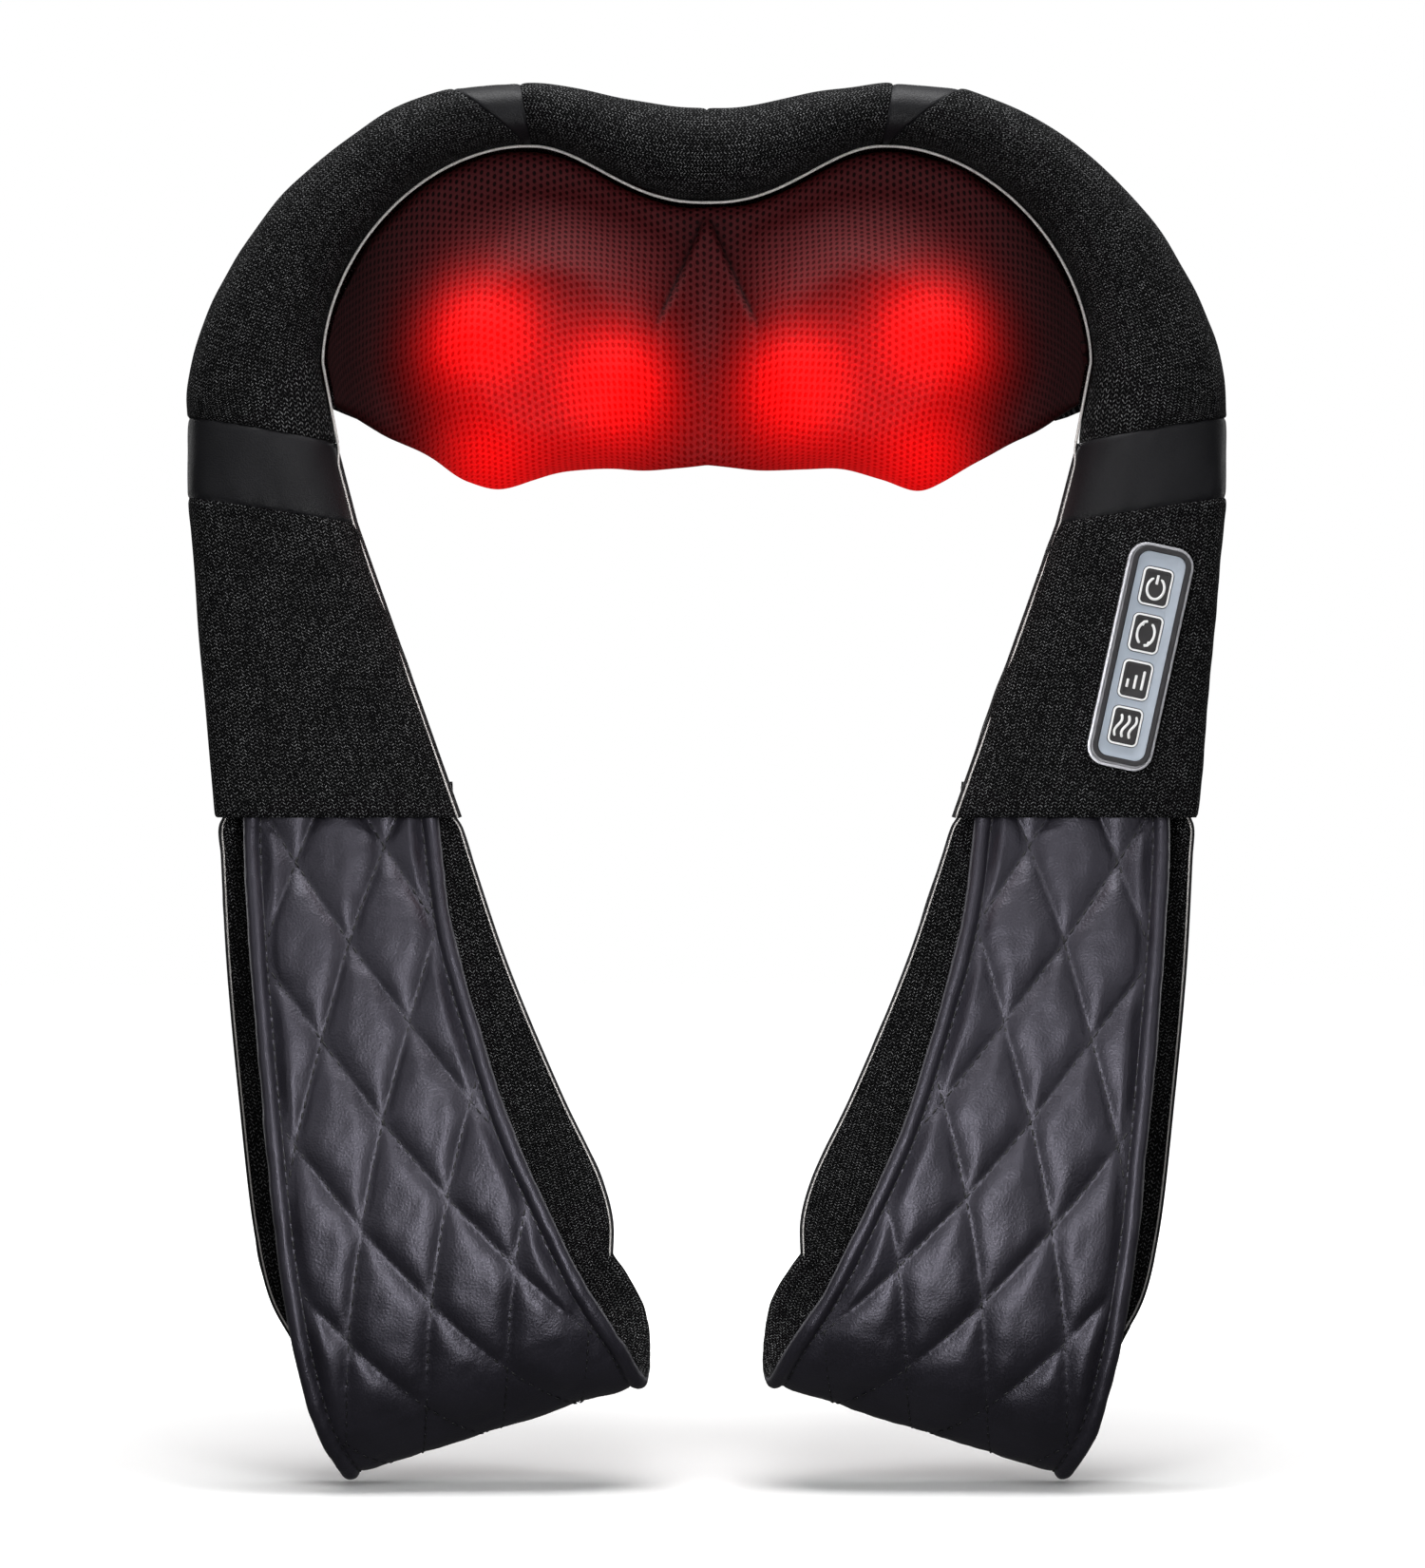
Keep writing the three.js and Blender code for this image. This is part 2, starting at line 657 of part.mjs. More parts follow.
for (const [name, sign] of [
  ["left", -1],
  ["right", 1],
]) {
  const place = fromHem(sign);
  add(`${name}_tail`, strap(tailOuter.map(place), tailInner.map(place), tailThick, 10, 4), woven);
  add(`${name}_loop`, strap(loopOuter.map(place), loopInner.map(place), loopThick, 26, 3), leather);
}

// ---- massage core: housing, motor and worm drive ---------------------------------------------------

const housingHeight = housingBottom - housingTop;
const housingMiddle = -(housingTop + housingBottom) / 2;
const pitchRadius = (gearModule * wheelTeeth) / 2;
const driveHeight = pitchRadius + wormRadius - headDrop; // worm axis, above each wheel
const lead = Math.PI * gearModule;
const screwReach = housingReach - 11;
const screwPlaces = [
  [-screwReach, -housingTop - 11],
  [screwReach, -housingTop - 11],
  [-screwReach, -housingBottom + 11],
  [screwReach, -housingBottom + 11],
];
const bothSides = (make) => [-1, 1].map((sign) => make(sign));

const shell = cut(
  roundedPlate(2 * housingReach, housingHeight, housingCorner, housingFront, housingBack),
  roundedPlate(
    2 * (housingReach - housingWall),
    housingHeight - 2 * housingWall,
    housingCorner - housingWall,
    housingFront - 1,
    housingBack - housingWall,
  ),
).translate(0, 0, housingMiddle);
const ribDepth = housingBack - driveDepth + 7;
const rib = (sign) =>
  new THREE.BoxGeometry(ribThick, ribDepth - 1, 16).translate(
    sign * (ribReach - ribThick / 2),
    housingBack - 1 - (ribDepth - 1) / 2,
    driveHeight,
  );
const spindleBoss = (sign) =>
  barrel(spindleRadius + 4, housingBack - 12, housingBack - 1).translate(sign * headReach, 0, -headDrop);
const spindleSocket = (sign) =>
  barrel(spindleRadius + gap, housingBack - 13, housingBack - 3).translate(sign * headReach, 0, -headDrop);
const posts = screwPlaces.map(([x, z]) => barrel(4, housingFront, housingBack - 1, 12).translate(x, 0, z));
const pilots = screwPlaces.map(([x, z]) =>
  barrel(1.9, housingFront - 1, housingFront + 14, 10).translate(x, 0, z),
);
add(
  "rear_housing",
  cut(
    join(shell, ...bothSides(rib), ...bothSides(spindleBoss), ...posts),
    ...bothSides(spindleSocket),
    ...pilots,
    axle(shaftRadius + gap, 2 * ribReach + 4).translate(0, driveDepth, driveHeight),
    barrel(inletRadius + gap, housingBack - 8, housingBack + 4).translate(inletX, 0, inletZ),
  ),
  blackPlastic,
);

const plateBack = housingFront - gap;
const plateFront = plateBack - plateThick;
const headFlat = 1.8;
add(
  "front_housing",
  cut(
    roundedPlate(2 * housingReach, housingHeight, housingCorner, plateFront, plateBack)
      .translate(0, 0, housingMiddle),
    ...bothSides((sign) =>
      barrel(bushRadius + gap, plateFront - 1, plateBack + 1).translate(sign * headReach, 0, -headDrop),
    ),
    ...screwPlaces.map(([x, z]) => barrel(2, plateFront - 1, plateBack + 1, 12).translate(x, 0, z)),
  ),
  blackPlastic,
);

screwPlaces.forEach(([x, z], k) => {
  const head = barrel(3.4, plateFront - gap - headFlat, plateFront - gap, 12);
  const shank = barrel(1.5, plateFront - gap - 1, housingFront + 12, 10);
  const slot = new THREE.BoxGeometry(1, 1.6, 5).translate(0, plateFront - gap - headFlat, 0);
  add(`housing_screw_${k + 1}`, cut(join(head, shank), slot).translate(x, 0, z), steel);
});

/** A lathed ring round the X axis from a closed [x, radius] profile. */
const turned = (profile, sides) =>
  new THREE.LatheGeometry(
    profile.map(([x, radius]) => new THREE.Vector2(radius, x)),
    sides,
  ).rotateZ(-Math.PI / 2);

const bossLength = 3;
const half = motorLength / 2;
const motorBore = shaftRadius + gap;
add(
  "motor",
  turned(
    [
      [-half - bossLength, motorBore],
      [-half - bossLength, 6.5],
      [-half, 6.5],
      [-half, motorRadius - 1.5],
      [-half + 1.5, motorRadius],
      [half - 1.5, motorRadius],
      [half, motorRadius - 1.5],
      [half, 6.5],
      [half + bossLength, 6.5],
      [half + bossLength, motorBore],
      [-half - bossLength, motorBore],
    ],
    16,
  ).translate(0, driveDepth, driveHeight),
  steel,
);

add("motor_shaft", axle(shaftRadius, 2 * ribReach + 2).translate(0, driveDepth, driveHeight), steel);

/** One worm, of the given hand, whose thread crosses the wheel's middle on its near side. */
function worm(hand) {
  const [root, tip] = [wormRadius - 1.9, wormRadius + 1.2];
  const length = wormTurns * lead + 6;
  const core = axle(root, length, 14);
  const perTurn = 10;
  const rings = steps(-wormTurns / 2, wormTurns / 2, wormTurns * perTurn).map((turn) => {
    const angle = 2 * Math.PI * turn;
    const section = [
      [root - 0.6, -1.35],
      [tip, -0.5],
      [tip, 0.5],
      [root - 0.6, 1.35],
    ];
    return section.map(([radius, along]) =>
      point(hand * lead * turn + along, radius * Math.sin(angle), -radius * Math.cos(angle)),
    );
  });
  return cut(join(core, loft(rings)), axle(shaftRadius + gap / 2, length + 2, 12));
}

/** A worm wheel with slanted teeth, a gap of its teeth facing the worm. */
function wormWheel(hand) {
  const slant = Math.atan(lead / (2 * Math.PI * wormRadius));
  const ring = (y) => {
    const turn = (hand * Math.tan(slant) * y) / pitchRadius;
    return Array.from({ length: wheelTeeth }, (_, k) => {
      const middle = (2 * Math.PI * (k + 0.5)) / wheelTeeth + turn;
      const flank = [
        [pitchRadius - 1.8, -1.4],
        [pitchRadius + 1.3, -0.62],
        [pitchRadius + 1.3, 0.62],
        [pitchRadius - 1.8, 1.4],
      ];
      return flank.map(([radius, along]) => {
        const angle = middle + along / pitchRadius;
        return point(radius * Math.sin(angle), y, radius * Math.cos(angle));
      });
    }).flat();
  };
  const blank = loft([ring(-wheelFace / 2), ring(wheelFace / 2)]);
  return cut(blank, barrel(spindleRadius + gap / 2, -wheelFace, wheelFace, 16));
}

/** A massage node: a dome with a shallow waist, standing forward on the rotor. */
function massageNode(radius, height) {
  const profile = [[0, 0]];
  profile.push([radius * 0.82, 0]);
  for (const share of [0.12, 0.36, 0.6, 0.8, 0.94]) {
    profile.push([radius * Math.sqrt(1 - Math.pow(Math.max(share - 0.12, 0) / 0.88, 2)), height * share]);
  }
  profile.push([0, height]);
  return new THREE.LatheGeometry(
    profile.map(([r, y]) => new THREE.Vector2(r, y)),
    14,
  ).rotateX(Math.PI);
}

const nodeAngle = Math.PI / 4;
function rotor() {
  const hub = barrel(hubRadius, -rotorFront, 0);
  const pads = [0, 1, 2, 3].map((k) => {
    const angle = nodeAngle + (k * Math.PI) / 2;
    const pad = barrel(largeNodeRadius * 0.62, -rotorFront, -rotorFront + rotorThick, 14);
    return pad.translate(nodeOrbit * Math.cos(angle), 0, nodeOrbit * Math.sin(angle));
  });
  const arms = [0, 1].map((k) =>
    new THREE.BoxGeometry(2 * nodeOrbit, rotorThick, 9)
      .translate(0, -rotorFront + rotorThick / 2, 0)
      .rotateY(nodeAngle + (k * Math.PI) / 2),
  );
  return cut(join(hub, ...pads, ...arms), barrel(spindleRadius + gap / 2, -rotorFront - 1, 1, 16));
}

const lampFront = plateFront - gap - 1.6;
function lampBoard() {
  const disc = barrel(bushFlangeRadius + 14, lampFront, plateFront - gap, 20);
  const lamps = [0, 1, 2, 3].map((k) => {
    const angle = (k * Math.PI) / 2;
    const place = bushFlangeRadius + 8;
    return barrel(2.4, lampFront - 1.6, lampFront + 0.8, 8).translate(
      place * Math.cos(angle),
      0,
      place * Math.sin(angle),
    );
  });
  return cut(join(disc, ...lamps), barrel(bushFlangeRadius + gap, -50, 50));
}

for (const [name, sign] of [
  ["left", -1],
  ["right", 1],
]) {
  const hand = -sign;
  add(`${name}_worm`, worm(hand).translate(sign * headReach, driveDepth, driveHeight), brass);

  const head = new THREE.Group();
  head.position.set(sign * headReach, 0, -headDrop);
  massager.add(head);
  const flangeFront = plateFront - gap - bushFlange;
  const bush = join(
    barrel(bushFlangeRadius, flangeFront, plateFront - gap),
    barrel(bushRadius, flangeFront + 1, plateBack + 3),
  );
  add(`${name}_spindle_bush`, cut(bush, barrel(spindleRadius + gap, -50, 50)), brass, head);
  add(`${name}_lamp_board`, lampBoard(), circuit, head);
  add(`${name}_spindle`, barrel(spindleRadius, -rotorFront + 1, housingBack - 4, 16), steel, head);
  add(`${name}_worm_wheel`, wormWheel(hand).translate(0, driveDepth, 0), whitePlastic, head);
  add(`${name}_rotor`, rotor(), blackPlastic, head);
  for (let k = 0; k < 4; k++) {
    const large = k % 2 === (sign > 0 ? 0 : 1);
    const angle = nodeAngle + (k * Math.PI) / 2;
    const dome = large
      ? massageNode(largeNodeRadius, largeNodeHeight)
      : massageNode(smallNodeRadius, smallNodeHeight);
    dome.translate(nodeOrbit * Math.cos(angle), -rotorFront - gap, nodeOrbit * Math.sin(angle));
    add(`${name}_${large ? "large" : "small"}_node_${k < 2 ? 1 : 2}`, dome, redSilicone, head);
  }
}

const inlet = join(
  cut(
    barrel(inletRadius, housingBack - 9, coverBack - 0.5),
    barrel(inletBore, housingBack - 4, coverBack + 1, 14),
  ),
  barrel(inletPin, housingBack - 5, coverBack - 2, 8),
);
add("power_inlet", inlet.translate(inletX, 0, inletZ), blackPlastic);

// ---- zip along the underside -----------------------------------------------------------------------

const zipBack = coverBack - 10 - gap;
const zipMiddle = zipBack - (zipWidth - gap) / 2;
const zipLow = -underFloor;
const chainHalf = 2;
const tape = new THREE.BoxGeometry(2 * zipReach, zipWidth - 2 * gap, zipThick);
tape.translate(0, 0, zipThick / 2);
const chain = new THREE.BoxGeometry(2 * zipReach - 6, 2 * chainHalf, 1.2).translate(0, 0, -0.4);
add("zip_tape", join(tape, chain).translate(0, zipMiddle, zipLow), blackPlastic);

const sliderPark = -(headReach + nodeOrbit); // parked behind the sag of the mesh
const pullAxis = -4.6; // below the tape's lower face
const sliderBody = cut(
  new THREE.BoxGeometry(10, 8, 3).translate(0, 0, -1.9),
  new THREE.BoxGeometry(12, 2 * chainHalf + 2 * gap, 1.4).translate(0, 0, -0.5),
);
const bridge = cut(
  new THREE.BoxGeometry(3.6, 2.4, 3.6).translate(0, 0, pullAxis - 0.1),
  new THREE.BoxGeometry(2.2, 4, 2.2).translate(0, 0, pullAxis),
);
const zipSlider = new THREE.Group();
zipSlider.position.set(sliderPark, zipMiddle, zipLow);
massager.add(zipSlider);
add("zip_slider", join(sliderBody, bridge), steel, zipSlider);
const pullPin = new THREE.BoxGeometry(1.2, 5.2, 1.2).translate(0, 0, pullAxis);
const pullCheek = (sign) =>
  new THREE.BoxGeometry(1.4, 1, 4.4).translate(0, sign * 2.1, pullAxis - 1.6);
const pullTab = new THREE.BoxGeometry(4, 5.2, 1.2).translate(0, 0, pullAxis - 3.7);
const pullBlade = new THREE.BoxGeometry(4, 1.4, pullLength);
pullBlade.translate(0, 0, pullAxis - 3.7 - pullLength / 2);
add("zip_pull", join(pullPin, ...bothSides(pullCheek), pullTab, pullBlade), steel, zipSlider);

// ---- control pod -----------------------------------------------------------------------------------

const pod = new THREE.Group();
pod.position.set(podReach, podFabricPlane(), -podDrop);
pod.rotation.set(podLean, podTilt, 0);
massager.add(pod);

const keyNames = ["power", "direction", "speed", "heat"];
const keyHeights = keyNames.map((_, k) => (1.5 - k) * keyPitch);
const keyHole = (z) =>
  roundedPlate(keyWidth + 2 * gap, keyLength + 2 * gap, keyCorner + gap, -20, 20, 2).translate(0, 0, z);
const bezelFront = -podProud;
const plateSeat = bezelFront + 1.2;

add(
  "pod_bezel",
  cut(
    roundedPlate(podWidth, podLength, podCorner, bezelFront, -gap),
    roundedPlate(
      plateWidth + 2 * gap,
      plateLength + 2 * gap,
      podCorner - 3,
      bezelFront - 1,
      plateSeat + facePlateThick + gap,
    ),
    roundedPlate(plateWidth - 3, plateLength - 3, podCorner - 4, bezelFront - 1, 1),
  ),
  blackPlastic,
  pod,
);
add(
  "pod_face_plate",
  cut(
    roundedPlate(plateWidth, plateLength, podCorner - 3.4, plateSeat, plateSeat + facePlateThick),
    ...keyHeights.map(keyHole),
  ),
  greyPlastic,
  pod,
);
add(
  "pod_housing",
  cut(
    roundedPlate(podWidth - 4, podLength - 4, podCorner - 2, 0, podDepth),
    roundedPlate(podWidth - 7, podLength - 7, podCorner - 3.5, -1, podDepth - 1.5),
  ),
  blackPlastic,
  pod,
);
const boardFront = 3;
const board = roundedPlate(podWidth - 8, podLength - 8, 4, boardFront, boardFront + 1.6, 2);
const switches = keyHeights.map((z) =>
  barrel(2.4, boardFront - 1, boardFront + 0.8, 10).translate(0, 0, z),
);
add("control_board", join(board, ...switches), circuit, pod);

keyNames.forEach((name, k) => {
  const capBack = plateSeat + facePlateThick + 1;
  const cap = roundedPlate(keyWidth, keyLength, keyCorner, plateSeat - keyProud, capBack, 2);
  const flangeBack = plateSeat + facePlateThick + gap + 1;
  const flange = roundedPlate(keyWidth + 2, keyLength + 1.6, keyCorner, flangeBack - 1, flangeBack, 2);
  const stem = barrel(1.8, flangeBack - 0.5, boardFront - 1 - keyTravel - gap, 10);
  add(`${name}_button`, join(cap, flange, stem).translate(0, 0, keyHeights[k]), darkKey, pod);
});

export default massager;
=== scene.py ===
"""Looks of a shiatsu neck massager: woven and leather pads, a mesh window with a painted red glow, quilted hand loops
and a control pod.

Sizes are in millimetres and become metres when a mesh is made. The mesh side faces -Y and the pod is on +X.
"""

import logging
import math
from contextlib import contextmanager
from dataclasses import dataclass, field
from enum import Enum
from typing import Iterator, Sequence

import bmesh
import bpy
import numpy as np
from mathutils import Matrix, Vector

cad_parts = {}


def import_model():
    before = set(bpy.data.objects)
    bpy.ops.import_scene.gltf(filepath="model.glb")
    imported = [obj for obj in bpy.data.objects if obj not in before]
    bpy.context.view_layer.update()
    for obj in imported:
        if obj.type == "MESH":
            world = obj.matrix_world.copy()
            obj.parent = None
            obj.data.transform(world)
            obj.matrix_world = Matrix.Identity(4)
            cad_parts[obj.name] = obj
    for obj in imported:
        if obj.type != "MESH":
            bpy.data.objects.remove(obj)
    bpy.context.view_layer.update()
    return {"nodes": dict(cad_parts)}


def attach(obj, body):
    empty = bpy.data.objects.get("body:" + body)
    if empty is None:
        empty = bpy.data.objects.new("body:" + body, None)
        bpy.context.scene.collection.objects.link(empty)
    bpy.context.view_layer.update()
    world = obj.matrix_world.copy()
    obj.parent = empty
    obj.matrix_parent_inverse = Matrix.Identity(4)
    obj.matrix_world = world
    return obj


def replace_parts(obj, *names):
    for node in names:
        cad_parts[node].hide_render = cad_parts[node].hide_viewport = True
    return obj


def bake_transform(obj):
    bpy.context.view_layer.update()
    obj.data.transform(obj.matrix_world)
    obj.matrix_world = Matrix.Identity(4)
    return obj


LOG = logging.getLogger("massager")
MM = 0.001
BODY = "massager_body"
CORE_MIDDLE = (0.0, 46.0, -80.0)
SMOOTH_BELOW = math.radians(32)
ROUND_ABOVE = math.radians(35)

Pair = tuple[float, float]
Colour = tuple[float, float, float]


class Side(Enum):
    """The massager's two sides, as the mesh is seen from the front."""

    LEFT = -1
    RIGHT = 1

    @property
    def label(self) -> str:
        """The side's word in node and body names."""
        return self.name.lower()

    @property
    def arm(self) -> str:
        """The body that the arm's pieces ride on."""
        return f"{self.label}_arm"


class Hem(Enum):
    """How the end of a sewn tube is finished."""

    SEAM = "turned in against its neighbour"
    OPEN = "a mouth with its wall showing"


# ---- numbers ---------------------------------------------------------------------------------------


def mix(a: float, b: float, t: float) -> float:
    """The value a share t of the way from a to b."""
    return a + (b - a) * t


def blend_points(a: Sequence[float], b: Sequence[float], t: float) -> Pair:
    """The point a share t of the way from a to b."""
    return mix(a[0], b[0], t), mix(a[1], b[1], t)


def ease(t: float) -> float:
    """A smooth start and stop from 0 to 1."""
    return 0.5 - 0.5 * math.cos(math.pi * min(max(t, 0.0), 1.0))


def bend(value: np.ndarray, power: float) -> np.ndarray:
    """A sine or cosine squared off to the given superellipse power."""
    return np.sign(value) * np.abs(value) ** (2 / power)


def ripple(points: np.ndarray, seed: int, wavelength: float, waves: int = 7) -> np.ndarray:
    """Soft repeatable undulation over points.

    Args:
        points: Points in millimetres, with xyz last.
        seed: Picks one pattern of waves.
        wavelength: Typical distance between crests, in millimetres.
        waves: How many waves are added up.

    Returns:
        Heights of about -1 to 1, one for each point.
    """
    chance = np.random.default_rng(seed)
    total = np.zeros(points.shape[:-1])
    for _ in range(waves):
        heading = chance.normal(size=3)
        heading *= 2 * math.pi / (wavelength * chance.uniform(0.7, 1.5) * np.linalg.norm(heading))
        total += np.sin(points @ heading + chance.uniform(0, 2 * math.pi))
    return total / math.sqrt(waves)


def curve_through(knots: Sequence[Sequence[float]], shares: np.ndarray) -> np.ndarray:
    """Points on a centripetal spline through knots.

    Args:
        knots: The points that it passes through.
        shares: Places along it, from 0 to 1, counted evenly from knot to knot.

    Returns:
        One point for each share.
    """
    k = np.array(knots, float)
    last = len(k) - 1
    padded = np.vstack([2 * k[0] - k[1], k, 2 * k[-1] - k[-2]])
    found = []
    for share in shares:
        place = min(share * last, last - 1e-9)
        i = int(place)
        a, b, c, d = padded[i : i + 4]
        s0, s1, s2 = (np.linalg.norm(q - p) ** 0.5 for p, q in ((a, b), (b, c), (c, d)))
        m1 = ((b - a) / s0 - (c - a) / (s0 + s1) + (c - b) / s1) * s1
        m2 = ((c - b) / s1 - (d - b) / (s1 + s2) + (d - c) / s2) * s1
        w = place - i
        found.append(b + m1 * w + (3 * (c - b) - 2 * m1 - m2) * w**2 + (2 * (b - c) + m1 + m2) * w**3)
    return np.array(found)


def spaced(points: np.ndarray, count: int) -> np.ndarray:
    """The same line with its points spread evenly.

    Args:
        points: A line of points.
        count: How many points the new line has.

    Returns:
        The new points, ends included.
    """
    steps = np.linalg.norm(np.diff(points, axis=0), axis=1)
    run = np.concatenate([[0], np.cumsum(steps)])
    at = np.linspace(0, run[-1], count)
    return np.stack([np.interp(at, run, points[:, axis]) for axis in range(points.shape[1])], axis=1)


# ---- skins -----------------------------------------------------------------------------------------


@dataclass
class Skin:
    """A net of points that becomes one smooth mesh.

    Attributes:
        points: Rows by columns by xyz, in millimetres.
        wraps: Whether the last column meets the first.
        core: A point on the inner side, which the faces look away from; None takes each row's middle.
    """

    points: np.ndarray
    wraps: bool
    core: np.ndarray | None = None

    def normals(self) -> np.ndarray:
        """Unit normals that look outwards, one for each point."""
        p = self.points
        along = np.gradient(p, axis=0)
        across = np.roll(p, -1, 1) - np.roll(p, 1, 1) if self.wraps else np.gradient(p, axis=1)
        normal = np.cross(along, across)
        normal /= np.maximum(np.linalg.norm(normal, axis=2, keepdims=True), 1e-9)
        inside = p.mean(1, keepdims=True) if self.core is None else self.core
        return normal if np.sum(normal * (p - inside)) > 0 else -normal

    def raise_by(self, heights: np.ndarray) -> "Skin":
        """The skin moved out by a height at each point."""
        return Skin(self.points + self.normals() * heights[..., None], self.wraps, self.core)

    def lengths(self, front: int) -> tuple[np.ndarray, np.ndarray]:
        """How far each point lies across and along the skin.

        Args:
            front: The column that both are measured from.

        Returns:
            Distances across and along, in millimetres, with a closing column where the skin wraps.
        """
        p = np.concatenate([self.points, self.points[:, :1]], 1) if self.wraps else self.points
        steps = np.linalg.norm(np.diff(p, axis=1), axis=2)
        across = np.concatenate([np.zeros((len(p), 1)), np.cumsum(steps, 1)], 1)
        across -= across[:, front : front + 1]
        down = np.linalg.norm(np.diff(p[:, front], axis=0), axis=1)
        along = np.concatenate([[0], np.cumsum(down)])
        return across, np.repeat(along[:, None], p.shape[1], 1)

    def build(self, name: str, front: int = 0, capped: bool = False) -> bpy.types.Object:
        """Makes the mesh.

        Args:
            name: The piece's name.
            front: The column that the cloth map is measured from.
            capped: Whether the first and last rows are closed.

        Returns:
            The new object, with a UV map named cloth in metres.
        """
        rows, columns = self.points.shape[:2]
        spans = columns if self.wraps else columns - 1
        corners = np.array([(i, j) for i in range(rows - 1) for j in range(spans)])
        i, j = corners[:, 0], corners[:, 1]
        quads = np.stack([i, j, i, j + 1, i + 1, j + 1, i + 1, j], 1).reshape(-1, 4, 2)
        across, along = self.lengths(front)
        a, b, c = (self.points[q[:, 0], q[:, 1] % columns] for q in (quads[:, 0], quads[:, 1], quads[:, 2]))
        facing = np.cross(b - a, c - b)
        if np.sum(facing * self.normals()[quads[:, 0, 0], quads[:, 0, 1]]) < 0:
            quads = quads[:, ::-1]
        faces = (quads[..., 0] * columns + quads[..., 1] % columns).tolist()
        maps = np.stack([across[quads[..., 0], quads[..., 1]], along[quads[..., 0], quads[..., 1]]], -1)
        mesh = bpy.data.meshes.new(name)
        mesh.from_pydata((self.points.reshape(-1, 3) * MM).tolist(), [], faces)
        layer = mesh.uv_layers.new(name="cloth")
        layer.data.foreach_set("uv", (maps * MM).astype(np.float32).ravel())
        mesh.update()
        piece = bpy.data.objects.new(name, mesh)
        bpy.context.scene.collection.objects.link(piece)
        if capped:
            close_ends(piece)
        mesh.shade_smooth()
        return piece


def close_ends(piece: bpy.types.Object) -> None:
    """Closes every open edge loop of a piece with faces that look outwards."""
    net = bmesh.new()
    net.from_mesh(piece.data)
    bmesh.ops.holes_fill(net, edges=[e for e in net.edges if e.is_boundary], sides=0)
    net.to_mesh(piece.data)
    net.free()


def cord_skin(path: np.ndarray, radius: float, sides: int = 10, flatness: float = 1.0) -> Skin:
    """A round or flattened cord along a line of points.

    Args:
        path: The cord's middle line, in millimetres.
        radius: Half its thickness.
        sides: Points round it.
        flatness: Its depth along Y as a share of its width.

    Returns:
        The cord's skin.
    """
    run = np.gradient(path, axis=0)
    run /= np.linalg.norm(run, axis=1, keepdims=True)
    up = np.cross(run, [0.0, 1.0, 0.0])
    up /= np.maximum(np.linalg.norm(up, axis=1, keepdims=True), 1e-6)
    out = np.cross(up, run)
    turn = np.linspace(0, 2 * math.pi, sides, endpoint=False)
    ring = up[:, None] * np.cos(turn)[:, None] + flatness * out[:, None] * np.sin(turn)[:, None]
    return Skin(path[:, None] + radius * ring, True)


# ---- finishes --------------------------------------------------------------------------------------


